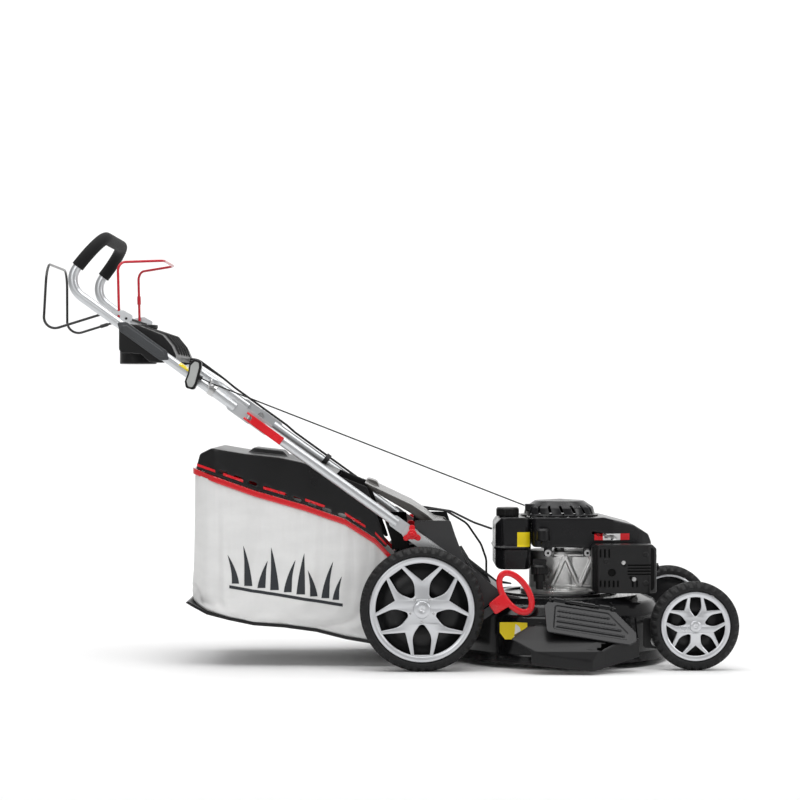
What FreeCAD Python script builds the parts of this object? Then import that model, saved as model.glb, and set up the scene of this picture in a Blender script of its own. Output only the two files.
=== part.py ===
import FreeCAD, Part
import math
import os
import re

from FreeCAD import Placement, Rotation, Vector

# Walk-behind petrol mower with a rear grass bag, built as the real machine is assembled.
# Frame: +X forward, +Y to the machine's left, +Z up, wheels standing on Z = 0.  Millimetres.
# Everything is laid out about the mid-plane y = 0 and moved by mid_y when it is named, so the
# overall box is centred although the side deflector sticks out on the right (-Y).

os.makedirs("parts", exist_ok=True)
doc = FreeCAD.newDocument("mower")
sheet = doc.addObject("Spreadsheet::Sheet", "Sizes")

SIZES = {
    # shared
    "mid_y": 27.4,
    "run_gap": 0.05,
    # wheels and axles
    "rear_axle_x": 74.4,
    "rear_axle_z": 140.0,
    "rear_wheel_r": 140.0,
    "rear_face": 285.0,
    "front_axle_x": 692.0,
    "front_axle_z": 100.0,
    "front_wheel_r": 100.0,
    "front_face": 262.0,
    "wheel_width": 45.0,
    "axle_r": 6.0,
    "rear_pivot_x": 166.0,
    "rear_pivot_z": 89.0,
    "front_pivot_x": 612.0,
    "front_pivot_z": 60.0,
    "arm_width": 26.0,
    "arm_t": 5.0,
    # deck and blade
    "engine_x": 403.0,
    "blade_t": 4.0,
    "blade_z": 44.0,
    "shaft_r": 12.5,
    "tunnel_width": 280.0,
    # engine
    "crankcase_r": 72.0,
    "fuel_cap_x": 279.0,
    "fuel_cap_y": -30.0,
    "fuel_cap_r": 27.0,
    "oil_x": 349.0,
    "oil_y": -128.0,
    # handle
    "tube_r": 11.0,
    "tube_y": 213.0,
    "pivot_x": 52.3,
    "pivot_z": 306.0,
    "fold_x": -319.0,
    "fold_z": 572.0,
    "foam_r": 14.5,
    "bail_r": 3.0,
    "cup_x": -588.0,
    "cup_r": 40.0,
    "cup_floor": 698.0,
    "cable_r": 2.6,
    "rope_r": 1.6,
    # bag, door, flap
    "bag_half": 186.0,
    "band_t": 14.0,
    "door_width": 330.0,
    "door_hinge_x": 130.0,
    "door_hinge_z": 318.0,
    "flap_t": 4.0,
}


def cell_note(word):
    return word.replace("_", " ") + " (mm)"


for row, (word, value) in enumerate(SIZES.items(), 1):
    sheet.set("A%d" % row, cell_note(word))
    sheet.set("B%d" % row, str(value))
    sheet.setAlias("B%d" % row, word)
doc.recompute()

NODES = []
SIDES = {"right": -1, "left": 1}


# ---------------------------------------------------------------- helpers


def size(word):
    return float(SIZES[word])


def formula(value):
    """Text for setExpression, with every sheet word pointed at the sheet."""
    def pointed(match):
        word = match.group(0)
        return "Sizes." + word if word in SIZES else word

    return re.sub(r"[a-z][a-z_]+", pointed, str(value))


def bind(item, prop, value):
    item.setExpression(prop, formula(value))


def place(item, x=0, y=0, z=0, turn=None):
    """Put an object at bound coordinates, turned about its own origin first."""
    item.Placement = Placement(Vector(), turn or Rotation())
    for letter, value in zip("xyz", (x, y, z)):
        bind(item, "Placement.Base." + letter, value)
    return item


def block(x0, x1, y0, y1, z0, z1):
    """A box between two corners; each limit is a number or a formula."""
    item = doc.addObject("Part::Box", "Block")
    bind(item, "Length", "(%s)-(%s)" % (x1, x0))
    bind(item, "Width", "(%s)-(%s)" % (y1, y0))
    bind(item, "Height", "(%s)-(%s)" % (z1, z0))
    return place(item, x0, y0, z0)


def tilted(length, width, height, centre, axis, degrees):
    """A box of the given sides, centred on a point and turned about an axis."""
    item = doc.addObject("Part::Box", "Block")
    bind(item, "Length", length)
    bind(item, "Width", width)
    bind(item, "Height", height)
    turn = Rotation(Vector(*axis), degrees)
    corner = Vector(*centre) + turn.multVec(Vector(-length / 2.0, -width / 2.0, -height / 2.0))
    item.Placement = Placement(corner, turn)
    return item


def rod(radius, start, end):
    """A round bar between two points."""
    start, end = Vector(*start), Vector(*end)
    item = doc.addObject("Part::Cylinder", "Rod")
    bind(item, "Radius", radius)
    bind(item, "Height", (end - start).Length)
    item.Placement = Placement(start, Rotation(Vector(0, 0, 1), end - start))
    return item


def upright(radius, x, y, z0, z1):
    """A vertical round bar at bound coordinates."""
    item = doc.addObject("Part::Cylinder", "Post")
    bind(item, "Radius", radius)
    bind(item, "Height", "(%s)-(%s)" % (z1, z0))
    return place(item, x, y, z0)


def cross_bar(radius, x, z, y0, y1):
    """A round bar along Y at bound coordinates; y0 is below y1."""
    item = doc.addObject("Part::Cylinder", "Pin")
    bind(item, "Radius", radius)
    bind(item, "Height", "(%s)-(%s)" % (y1, y0))
    return place(item, x, y0, z, Rotation(Vector(1, 0, 0), -90))


def join(*items):
    if len(items) == 1:
        return items[0]
    item = doc.addObject("Part::MultiFuse", "Join")
    item.Shapes = list(items)
    return item


def cut(base, *tools):
    item = doc.addObject("Part::Cut", "Cut")
    item.Base = base
    item.Tool = join(*tools)
    return item


def overlap(first, second):
    item = doc.addObject("Part::Common", "Common")
    item.Base = first
    item.Tool = second
    return item


def outline_curves(points, radius):
    """Lines and tangent arcs round a closed outline of (u, v) points, or (u, v, r) ones."""
    count = len(points)
    flat = [Vector(p[0], p[1], 0) for p in points]
    radii = [p[2] if len(p) > 2 else radius for p in points]
    ends = []
    for k in range(count):
        here = flat[k]
        back = (flat[k - 1] - here)
        ahead = (flat[(k + 1) % count] - here)
        half = back.getAngle(ahead) / 2.0
        wanted = radii[k] / math.tan(half) if half > 0.01 else 0
        reach = min(wanted, 0.49 * min(back.Length, ahead.Length))
        if radii[k] <= 0 or half > math.radians(89.5):
            ends.append((here, None, here))
            continue
        fillet = reach * math.tan(half)
        first = here + back.normalize() * reach
        last = here + ahead.normalize() * reach
        middle_way = (back + ahead).normalize()
        middle = here + middle_way * (fillet / math.sin(half) - fillet)
        ends.append((first, middle, last))
    curves = []
    for k in range(count):
        first, middle, last = ends[k]
        if middle is not None:
            curves.append(Part.Arc(first, middle, last))
        following = ends[(k + 1) % count][0]
        if (following - last).Length > 1e-6:
            curves.append(Part.LineSegment(last, following))
    return curves


def sketch_in(body, plane, curves):
    support = next(o for o in body.Origin.OriginFeatures if o.Role == plane)
    sketch = body.newObject("Sketcher::SketchObject", "Outline")
    sketch.AttachmentSupport = [(support, "")]
    sketch.MapMode = "FlatFace"
    sketch.addGeometry(curves, False)
    return sketch


def padded(plane, points, thickness, radius):
    body = doc.addObject("PartDesign::Body", "Plate")
    sketch = sketch_in(body, plane, outline_curves(points, radius))
    pad = body.newObject("PartDesign::Pad", "Pad")
    pad.Profile = sketch
    pad.Midplane = True
    bind(pad, "Length", thickness)
    body.Tip = pad
    return body


def side_plate(points, y0, y1, radius=0):
    """A plate cut to an (x, z) outline, between two y values."""
    body = padded("XZ_Plane", points, "(%s)-(%s)" % (y1, y0), radius)
    return place(body, 0, "((%s)+(%s))/2" % (y0, y1), 0)


def flat_plate(points, z0, z1, radius=0):
    """A plate cut to an (x, y) outline, between two z values."""
    body = padded("XY_Plane", points, "(%s)-(%s)" % (z1, z0), radius)
    return place(body, 0, 0, "((%s)+(%s))/2" % (z0, z1))


def front_plate(points, x0, x1, radius=0):
    """A plate cut to a (y, z) outline, between two x values."""
    body = padded("YZ_Plane", points, "(%s)-(%s)" % (x1, x0), radius)
    return place(body, "((%s)+(%s))/2" % (x0, x1), 0, 0)


def turned(points, x, y, z, turn=None, radius=0):
    """A (radius, height) outline turned about its own height axis."""
    body = doc.addObject("PartDesign::Body", "Turned")
    corners = [(p[0], p[1], 0 if p[0] == 0 else (list(p) + [radius])[2]) for p in points]
    sketch = sketch_in(body, "XZ_Plane", outline_curves(corners, 0))
    revolution = body.newObject("PartDesign::Revolution", "Turn")
    revolution.Profile = sketch
    revolution.ReferenceAxis = (sketch, ["V_Axis"])
    revolution.Angle = 360
    body.Tip = revolution
    return place(body, x, y, z, turn)


def feature(shape):
    item = doc.addObject("Part::Feature", "Formed")
    item.Shape = shape
    return item


def node(name, item):
    """Name a finished piece and move it from the mid-plane layout to the final frame."""
    item.Label = name
    bindings = dict(item.ExpressionEngine)
    bound = bindings.get(".Placement.Base.y") or bindings.get("Placement.Base.y")
    item.setExpression("Placement.Base.y", "(%s) + Sizes.mid_y" % (bound or item.Placement.Base.y))
    NODES.append(item)
    return item


def route(points, bend):
    """A centre line of straight runs with tangent arcs, and its bend radii.

    A single bend value is a limit for soft cables; a list gives a bent bar's exact radii."""
    flat = [Vector(*p) for p in points]
    edges = []
    radii = []
    last = flat[0]
    for k in range(1, len(flat) - 1):
        here = flat[k]
        back = (flat[k - 1] - here)
        ahead = (flat[k + 1] - here)
        half = back.getAngle(ahead) / 2.0
        turn_half = math.pi / 2.0 - half
        loose = 0.45 * min(back.Length, ahead.Length) / math.tan(turn_half)
        radius = bend[k - 1] if isinstance(bend, list) else min(bend, loose)
        reach = radius * math.tan(turn_half)
        first = here + back.normalize() * reach
        after = here + ahead.normalize() * reach
        middle = here + (back + ahead).normalize() * (radius / math.sin(half) - radius)
        if (first - last).Length > 1e-6:
            edges.append(Part.LineSegment(last, first).toShape())
        edges.append(Part.Arc(first, middle, after).toShape())
        radii.append(round(radius, 1))
        last = after
    edges.append(Part.LineSegment(last, flat[-1]).toShape())
    return Part.Wire(edges), radii


def tube(label, points, radius, bend, inner=0.0):
    """A round tube, rod or cable along a bent centre line."""
    path, radii = route(points, bend)
    start = Vector(*points[0])
    ahead = Vector(*points[1]) - start
    shape = path.makePipeShell([Part.Wire(Part.makeCircle(radius, start, ahead))], True, True, 2)
    length = path.Length
    expected = math.pi * radius * radius * length
    if inner:
        hollow = path.makePipeShell([Part.Wire(Part.makeCircle(inner, start, ahead))], True, True, 2)
        shape = shape.cut(hollow)
        expected -= math.pi * inner * inner * length
    print("%s: length %.0f, bends %s, volume ratio %.3f" % (label, length, radii, shape.Volume / expected))
    return shape


def ring_of(count, maker, first=0.0, span=360.0):
    """Tools placed round a circle by angle."""
    return [maker(first + span * k / count) for k in range(count)]


# the handle's line, from its pivot on the chassis up to its fold
TUBE_ANGLE = math.radians(35.8)
TUBE_WAY = Vector(-math.cos(TUBE_ANGLE), 0, math.sin(TUBE_ANGLE))
PIVOT = Vector(size("pivot_x"), 0, size("pivot_z"))
FOLD = Vector(size("fold_x"), 0, size("fold_z"))

# ---------------------------------------------------------------- deck


def deck_shell():
    profile = [
        (28, 155, 0), (190, 155), (224, 143), (240, 118), (246, 30), (256, 13, 0),
        (253.4, 12, 0), (243.4, 29.5), (237.5, 117), (222, 140.6), (189.5, 152.5), (28, 152.5, 0),
    ]
    shell = turned(profile, "engine_x", 0, 0, radius=14)
    tunnel_way = block(120, 262, -140.4, 140.4, 105, 170)
    side_way = block(398, 520, -300, -150, 34, 96)
    holes = [upright(4.2, 403 + 80 * dx, 80 * dy, 140, 170) for dx in (-0.7, 0.7) for dy in (-0.7, 0.7)]
    return cut(shell, tunnel_way, side_way, *holes)


def deck_bead():
    """The raised pressing round the engine seat."""
    ring = [(128, 154, 0), (138, 154, 0), (136, 159), (130, 159)]
    return turned(ring, "engine_x", 0, 0, radius=2)


def rear_tunnel():
    """Discharge duct from the deck chamber up to the bag's mouth, open at both ends."""
    outer = [(172, 106), (60, 204.5), (60, 216), (110, 312), (122, 308), (145, 287), (152, 270), (169, 256),
             (193, 216), (262, 166), (262, 155.4), (172, 155.4)]
    inner = [(176, 106), (40, 226), (80, 330), (100, 313), (120, 300), (139, 282), (147, 265), (165, 250),
             (189, 212), (255, 162), (258, 150), (258, 80), (176, 80)]
    duct = side_plate(outer, "-tunnel_width/2", "tunnel_width/2")
    way = side_plate(inner, "-tunnel_width/2+3", "tunnel_width/2-3")
    return cut(duct, way)


def tunnel_ribs():
    """Stiffening ribs that stand on the duct's sloping top."""
    rib = [(169, 254), (193, 214), (236, 183), (236, 191), (197, 221), (173, 261)]
    return join(*[side_plate(rib, y - 2, y + 2) for y in (-100, -50, 0, 50, 100)])


node("rear_tunnel", join(rear_tunnel(), tunnel_ribs()))

CHEEK = [(58, 246), (58, 336), (140, 336), (152, 300), (176, 236), (262, 168), (300, 160.4), (300, 156.4),
         (262, 160), (236, 150), (196, 120), (186, 74), (150, 74), (146, 112), (118, 170), (76, 196)]


def side_frame(side):
    """Chassis cheek with the rear carrier's pivot stub and a shelf down to the deck."""
    near, far = sorted((side * 196.0, side * 200.0))
    plate = side_plate(CHEEK, near, far, radius=6)
    low, high = sorted((side * 199.0, side * 235.0))
    stub = cross_bar(8, "rear_pivot_x", "rear_pivot_z", low, high)
    inner, outer = sorted((side * 141.0, side * 197.0))
    shelf = block(196, 262, inner, outer, 157, 160)
    low, high = sorted((0, side * 197.0))
    door_pin = cross_bar(4, "door_hinge_x", "door_hinge_z", low, high)
    return join(cut(join(plate, stub, shelf), cross_bar(4.05, "pivot_x", "pivot_z", -250, 250)), door_pin)


def pair(maker):
    """The right and left copies of a piece that is fitted on both sides."""
    return join(*[maker(side) for side in SIDES.values()])


node("side_frames", pair(side_frame))


def down_line(start, points):
    """(x, z) corners from (down the handle's line, square to it) pairs about a point."""
    down = Vector(math.cos(TUBE_ANGLE), 0, -math.sin(TUBE_ANGLE))
    across = Vector(-down.z, 0, down.x)
    corners = [start + down * u + across * v for u, v in points]
    return [(corner.x, corner.z) for corner in corners]


def handle_bracket(side):
    """Silver channel that runs down from the pivot in line with the handle tube."""
    low, high = sorted((side * 219.5, side * 222.0))
    face = side_plate(down_line(PIVOT, [(-20, -16), (-20, 13), (150, 13), (150, -16)]), low, high, radius=8)
    low, high = sorted((side * 200.2, side * 222.0))
    flange = side_plate(down_line(PIVOT, [(26, 10.5), (26, 13), (146, 13), (146, 10.5)]), low, high)
    return cut(join(face, flange), cross_bar(4.05, "pivot_x", "pivot_z", -250, 250))


node("handle_brackets", pair(handle_bracket))


def front_bracket(side):
    """Bracket on the deck wall that carries the front carrier's pivot stub."""
    low, high = sorted((side * 176.0, side * 180.0))
    plate = side_plate([(582, 44), (582, 112), (606, 112), (632, 70), (632, 48), (622, 40)], low, high, radius=6)
    low, high = sorted((side * 179.0, side * 193.0))
    return join(plate, cross_bar(8, "front_pivot_x", "front_pivot_z", low, high))


node("front_brackets", pair(front_bracket))

# ---------------------------------------------------------------- axles and wheels


def carrier_arm(pivot, axle, y0, y1, bore):
    """A flat link from a pivot bore to an axle."""
    (px, pz), (ax, az) = pivot, axle
    way = Vector(ax - px, 0, az - pz)
    across = Vector(-way.z, 0, way.x).normalize() * (size("arm_width") / 2.0)
    corners = [(px + across.x, pz + across.z), (px - across.x, pz - across.z),
               (ax - across.x, az - across.z), (ax + across.x, az + across.z)]
    bar = side_plate(corners, y0, y1)
    eyes = [cross_bar("arm_width/2", px, pz, y0, y1), cross_bar("arm_width/2", ax, az, y0, y1)]
    return cut(join(bar, *eyes), cross_bar(bore, px, pz, -300, 300))


def axle_carrier(pivot, axle, arm_y, face, bore):
    """An axle rod with a swinging arm at each end."""
    arms = []
    for side in SIDES.values():
        low, high = sorted((side * arm_y, side * (arm_y + size("arm_t"))))
        arms.append(carrier_arm(pivot, axle, low, high, bore))
    return join(cross_bar("axle_r", axle[0], axle[1], -face + 12, face - 12), *arms)


REAR_PIVOT = (size("rear_pivot_x"), size("rear_pivot_z"))
REAR_AXLE = (size("rear_axle_x"), size("rear_axle_z"))
FRONT_PIVOT = (size("front_pivot_x"), size("front_pivot_z"))
FRONT_AXLE = (size("front_axle_x"), size("front_axle_z"))
BORE = 8.0 + size("run_gap")

node("front_axle", axle_carrier(FRONT_PIVOT, FRONT_AXLE, 183.0, 262.0, BORE))
rear_rod = axle_carrier(REAR_PIVOT, REAR_AXLE, 203.0, 285.0, BORE)
node("rear_axle", rear_rod)


def gearbox():
    """Self-propelling gearbox that hangs on the rear axle."""
    steps = ((27, 38), (20, 52), (30, 3))
    case = join(*[cross_bar(radius, "rear_axle_x", "rear_axle_z", -reach, reach) for radius, reach in steps])
    return cut(case, cross_bar("axle_r+0.05", "rear_axle_x", "rear_axle_z", -60, 60))


node("gearbox", gearbox())

LEVER_WAY = Vector(98, 0, 69).normalize()
LEVER_TURN = Rotation(LEVER_WAY, Vector(-LEVER_WAY.z, 0, LEVER_WAY.x), Vector(0, -1, 0), "XYZ")


def height_lever():
    """Flat bar from the rear pivot to the grip, with a spacer boss round the pivot stub."""
    start = Vector(REAR_PIVOT[0], 0, REAR_PIVOT[1])
    bar = padded("XY_Plane", [(-12, -9), (-12, 9), (112, 9), (112, -9)], 5, 8)
    place(bar, start.x, -229, start.z, LEVER_TURN)
    boss = cross_bar(13, start.x, start.z, -231, -208.2)
    return cut(join(bar, boss), cross_bar(BORE, start.x, start.z, -300, -100))


node("height_lever", height_lever())


def lever_grip():
    """Red oval loop set square across the lever's end, with a socket for the flat bar."""
    outer = [(114, -30), (114, 30), (132, 58), (164, 58), (182, 30), (182, -30), (164, -58), (132, -58)]
    inner = [(128, -24), (128, 24), (138, 44), (158, 44), (168, 24), (168, -24), (158, -44), (138, -44)]
    loop = padded("XY_Plane", outer, 12, 18)
    hole = padded("XY_Plane", inner, 30, 9)
    stub = padded("XY_Plane", [(84, -12.5), (84, 12.5), (122, 15), (122, -15)], 12, 2)
    socket = padded("XY_Plane", [(80, -9.3), (80, 9.3), (112.3, 9.3), (112.3, -9.3)], 5.4, 0)
    for piece in (loop, hole, stub):
        place(piece, REAR_PIVOT[0], -232, REAR_PIVOT[1], LEVER_TURN)
    place(socket, REAR_PIVOT[0], -229, REAR_PIVOT[1], LEVER_TURN)
    return cut(join(loop, stub), hole, socket)


node("height_grip", lever_grip())


def wheel_turn(side):
    """Turns a wheel's own axis outwards along +Y or -Y."""
    return Rotation(Vector(1, 0, 0), -90 * side)


def tyre(radius, side, x, z, face):
    """Tyre with a domed tread, shoulder lugs and a bead that sits on the rim."""
    inner = radius - 22
    width = size("wheel_width")
    profile = [(inner, 3), (radius - 12, 0), (radius - 4, 3), (radius, 12), (radius, width - 12),
               (radius - 4, width - 3), (radius - 12, width), (inner, width - 3)]
    ring = turned(profile, 0, 0, 0, radius=3)
    count = 36 if radius > 120 else 26
    notches = []
    for edge, lean in ((5, 24), (width - 5, -24)):
        def notch(angle, edge=edge, lean=lean):
            around = Rotation(Vector(0, 0, 1), angle)
            piece = doc.addObject("Part::Box", "Notch")
            piece.Length, piece.Width, piece.Height = 9, 5.5, 15
            tilt = around.multiply(Rotation(Vector(1, 0, 0), lean))
            centre = around.multVec(Vector(radius, 0, 0)) + Vector(0, 0, edge)
            piece.Placement = Placement(centre + tilt.multVec(Vector(-4.5, -2.75, -7.5)), tilt)
            return piece
        notches += ring_of(count, notch, first=0 if edge < 10 else 180.0 / count)
    groove = turned([(radius - 3, width / 2 - 2), (radius - 3, width / 2 + 2),
                     (radius + 3, width / 2 + 2), (radius + 3, width / 2 - 2)], 0, 0, 0)
    shaped = cut(ring, groove, *notches)
    return place(shaped, x, side * (face - width), z, wheel_turn(side))


def petal_windows(radius, first):
    """Tools for the five long petal windows and the five short wedge windows between them."""
    tools = []
    for k in range(5):
        turn = Rotation(Vector(0, 0, 1), first + 72 * k)
        near, far = 0.24 * radius, 0.80 * radius
        petal_line = [(near, -0.05 * radius), (near, 0.05 * radius), (0.72 * radius, 0.2 * radius),
                      (far, 0.17 * radius), (far, -0.17 * radius), (0.72 * radius, -0.2 * radius)]
        wedge_line = [(0.52 * radius, -0.02 * radius), (0.52 * radius, 0.02 * radius),
                      (0.8 * radius, 0.16 * radius), (0.8 * radius, -0.16 * radius)]
        petal = padded("XY_Plane", petal_line, 80, 0.05 * radius)
        wedge = padded("XY_Plane", wedge_line, 80, 0.03 * radius)
        place(petal, 0, 0, 0, turn)
        place(wedge, 0, 0, 0, Rotation(Vector(0, 0, 1), 36).multiply(turn))
        tools += [petal, wedge]
    return tools


def rim(radius, side, x, z, face, first):
    """Moulded wheel centre: ledge ring, dished web with windows and a hub sleeve."""
    width = size("wheel_width")
    edge = radius - 22.2
    profile = [(edge, 4), (edge, width - 4), (edge - 4, width - 2), (edge - 9, width - 4), (edge - 11, width - 9),
               (0.30 * radius, width - 14), (0.26 * radius, width - 6), (6.05, width - 6), (6.05, 2),
               (0.16 * radius, 2), (0.18 * radius, width - 20), (edge - 14, width - 15), (edge - 5, 6)]
    disc = turned(profile, 0, 0, 0, radius=1.5)
    shaped = cut(disc, *petal_windows(radius, first))
    return place(shaped, x, side * (face - width), z, wheel_turn(side))


def hub_cap(radius, side, x, z, face):
    """Domed cap over the axle end."""
    cap_r = 0.15 * radius
    base = size("wheel_width") - 11.0
    profile = [(0, base), (cap_r, base), (cap_r, base + 8), (cap_r * 0.7, base + 10.8), (0, base + 11)]
    cap = turned(profile, 0, 0, 0, radius=1)
    return place(cap, x, side * (face - size("wheel_width")), z, wheel_turn(side))


WHEELS = {
    "rear": (size("rear_wheel_r"), REAR_AXLE, size("rear_face"), 90),
    "front": (size("front_wheel_r"), FRONT_AXLE, size("front_face"), -90),
}
for end, (radius, (x, z), face, first) in WHEELS.items():
    for word, side in SIDES.items():
        name = end + "_" + word
        node("tyre_" + name, tyre(radius, side, x, z, face))
        centre = rim(radius, side, x, z, face, first * -side)
        node("rim_" + name, join(centre, hub_cap(radius, side, x, z, face)))

# ---------------------------------------------------------------- engine


def crankcase():
    """Cast crankcase with its base flange and diagonal ribs."""
    flange = turned([(13, 155.4), (92, 155.4), (92, 166), (13, 166)], "engine_x", 0, 0)
    drum = upright("crankcase_r", "engine_x", 0, 160, 256)
    block_part = block(400, 503, -67, 67, 160, 255)
    leans = ((396, 24), (428, -24), (462, 24), (486, -24))
    ribs = [tilted(8, 12, 78, (x, -68, 210), (0, 1, 0), lean) for x, lean in leans]
    rails = [block(384, 501, -72.5, -60, z, z + 6) for z in (172, 245)]
    return cut(join(flange, drum, block_part, *ribs, *rails), upright("shaft_r+0.5", "engine_x", 0, 150, 260))


node("crankcase", crankcase())


def cylinder():
    """Finned cylinder and head in front of the crankcase."""
    core = block(503.2, 584, -48, 48, 180, 252)
    fins = [block(x, x + 3, -66, 66, 170, 258) for x in range(508, 582, 9)]
    head = block(584, 596, -52, 52, 176, 256)
    return join(core, head, *fins)


node("cylinder", cylinder())


def shroud_solid(inset):
    """Blower shroud block: side outline crossed with plan outline, inset on every wall."""
    side_view = [(333 + inset, 268), (333 + inset, 337 - inset), (480, 337 - inset), (500 - inset, 338 - inset),
                 (570 - inset, 320 - inset), (607 - inset, 297 - inset), (616 - inset, 276), (616 - inset, 268)]
    half = 105 - inset
    plan = [(333 + inset, -half), (333 + inset, half), (520, half), (590, half - 24), (616 - inset, half - 50),
            (616 - inset, -half + 50), (590, -half + 24), (520, -half)]
    return overlap(side_plate(side_view, -120, 120, radius=7), flat_plate(plan, 240, 400, radius=18))


def blower_shroud():
    air_way = upright(70, "engine_x", 0, 300, 400)
    inside = cut(shroud_solid(3), block(300, 700, -200, 200, 200, 262))
    shell = cut(shroud_solid(0), inside, air_way)
    near_step = tilted(150, 6, 5, (545, -104, 286), (0, 1, 0), 12)
    fixings = []
    for x in (369, 461):
        fixings += [block(x - 10, x + 10, -105, -102, 247, 270), cross_bar(9, x, 255, -108, -103)]
    return cut(join(shell, *fixings), near_step)


node("blower_shroud", blower_shroud())


def recoil_cover():
    """Domed starter housing with a ring of slanted air slots."""
    profile = [(0, 377), (58, 373), (80, 358), (85, 338.4), (82, 338.4), (77, 356), (56, 370), (0, 374)]
    dome = turned(profile, "engine_x", 0, 0, radius=6)
    slots = []
    for angle in range(-170, 190, 20):
        around = Rotation(Vector(0, 0, 1), angle)
        lean = around.multiply(Rotation(Vector(1, 0, 0), 20))
        piece = doc.addObject("Part::Box", "Slot")
        piece.Length, piece.Width, piece.Height = 40, 5, 22
        centre = Vector(size("engine_x"), 0, 352) + around.multVec(Vector(82, 0, 0))
        piece.Placement = Placement(centre + lean.multVec(Vector(-20, -2.5, -11)), lean)
        slots.append(piece)
    lip = turned([(80, 338.4), (92, 338.4), (92, 341), (80, 341)], "engine_x", 0, 0)
    nose = block(320, 342, -38, -22, 350, 366)
    return join(cut(dome, *slots), lip, nose)


node("recoil_cover", recoil_cover())

def crank_train():
    """Crankshaft with its flywheel on top and the blade's clamp and bolt below."""
    flywheel = turned([(5, 264), (58, 264), (58, 284), (42, 290), (42, 296), (5, 296)], "engine_x", 0, 0)
    adapter = turned([(0, 46.2), (38, 46.2), (38, 54), (20, 56), (20, 84), (0, 84)], "engine_x", 0, 0)
    vanes = []
    for angle in range(0, 360, 30):
        way = Vector(math.cos(math.radians(angle)), math.sin(math.radians(angle)), 0)
        spot = Vector(size("engine_x"), 0, 287) + way * 43
        vanes.append(tilted(26, 3, 14, tuple(spot), (0, 0, 1), angle + 20))
    steps = ((6, 34, 47), (20, 38, 41.8), (10, 30, 38.5))
    bolt = [upright(radius, "engine_x", 0, z0, z1) for radius, z0, z1 in steps]
    return join(upright("shaft_r", "engine_x", 0, 70, 300), flywheel, adapter, *vanes, *bolt)


node("crankshaft", crank_train())


def fuel_tank():
    """Fuel tank behind the engine, with its weld flange and filler neck."""
    side_view = [(248, 222), (248, 322), (262, 337), (331, 337), (331, 216), (256, 216)]
    plan = [(248, -84), (248, 84), (266, 100), (331, 100), (331, -100), (266, -100)]
    tank = overlap(side_plate(side_view, -130, 130, radius=9), flat_plate(plan, 200, 360, radius=20))
    seam_plan = [(244, -86), (244, 86), (264, 104), (331, 104), (331, -104), (264, -104)]
    seam = flat_plate(seam_plan, 264, 268.5, radius=20)
    neck = upright(22, "fuel_cap_x", "fuel_cap_y", 330, 341)
    return join(tank, seam, neck)


node("fuel_tank", fuel_tank())


def fuel_cap():
    """Ribbed screw cap over the filler neck."""
    profile = [(22.3, 337.6), (27, 337.6), (27, 354), (24, 358), (0, 358), (0, 341.3), (22.3, 341.3)]
    cap = turned(profile, "fuel_cap_x", "fuel_cap_y", 0, radius=0.8)
    grips = []
    for angle in range(0, 360, 20):
        x = size("fuel_cap_x") + 27.4 * math.cos(math.radians(angle))
        y = size("fuel_cap_y") + 27.4 * math.sin(math.radians(angle))
        grips.append(upright(2.2, x, y, 336, 353))
    return cut(cap, *grips)


node("fuel_cap", fuel_cap())


def muffler():
    """Silencer box inside its guard, with an inlet pipe from the cylinder."""
    can = block(484, 604, -152, -104, 182, 262)
    pipe = cross_bar(11, 545, 224, -105, -66.5)
    return join(can, pipe)


node("muffler", muffler())


def guard_slots():
    """Slot tools for the guard's near face."""
    tools = []
    near, far = -175, -155
    for x in (486, 496, 506):
        tools.append(block(x - 2, x + 2, near, far, 248, 268))
    for z in (210, 217, 224, 231):
        tools.append(block(548, 602, near, far, z - 1.6, z + 1.6))
    for x in (486, 496, 506, 516, 526, 560, 570):
        tools.append(block(x - 2, x + 2, near, far, 180, 196))
    tools.append(cross_bar(9, 512, 214, near, far))
    tools.append(cross_bar(4, 540, 232, near, far))
    tools.append(cross_bar(4, 556, 202, near, far))
    return tools


def muffler_guard():
    """Pressed steel heat guard, open at its back."""
    plan = [(468, -108.5), (468, -150), (482, -165), (598, -165), (617, -148), (617, -108.5)]
    inner_plan = [(470, -90), (470, -149), (483, -163), (597, -163), (615, -147), (615, -90)]
    side_view = [(468, 172), (468, 272), (476, 278), (606, 278), (617, 268), (617, 166), (480, 166)]
    inner_view = [(466, 174), (466, 270), (476, 276), (606, 276), (619, 267), (619, 168), (481, 168)]
    outer = overlap(flat_plate(plan, 150, 300, radius=8), side_plate(side_view, -190, -80, radius=4))
    inner = overlap(flat_plate(inner_plan, 150, 300, radius=7), side_plate(inner_view, -200, -70, radius=3))
    return cut(outer, inner, *guard_slots())


GUARD_SCREWS = ((500, 240), (590, 256), (590, 190))
node("muffler_guard", join(muffler_guard(), *[cross_bar(5.5, x, z, -167.5, -163) for x, z in GUARD_SCREWS]))


def oil_filler():
    """Oil filler tube from the crankcase's base."""
    foot = rod(7.5, (360, -72, 180), (349, -112, 182))
    neck = upright(9, "oil_x", "oil_y+16", 172, 196)
    collar = upright(14, "oil_x", "oil_y+16", 190, 206)
    return join(foot, neck, collar)


node("oil_filler", oil_filler())


def oil_cap():
    """Ribbed oil cap with a finger bar."""
    profile = [(0, 206.4), (20, 206.4), (20, 224), (16, 229), (0, 230)]
    cap = turned(profile, "oil_x", "oil_y+16", 0, radius=1.5)
    bar = block(333, 365, -115.5, -108.5, 228, 241)
    grips = []
    for angle in range(0, 360, 24):
        x = 349 + 20.5 * math.cos(math.radians(angle))
        y = -112 + 20.5 * math.sin(math.radians(angle))
        grips.append(upright(1.8, x, y, 205, 222))
    return join(cut(cap, *grips), bar)


node("oil_cap", oil_cap())

POST_Y = -122.5


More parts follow.
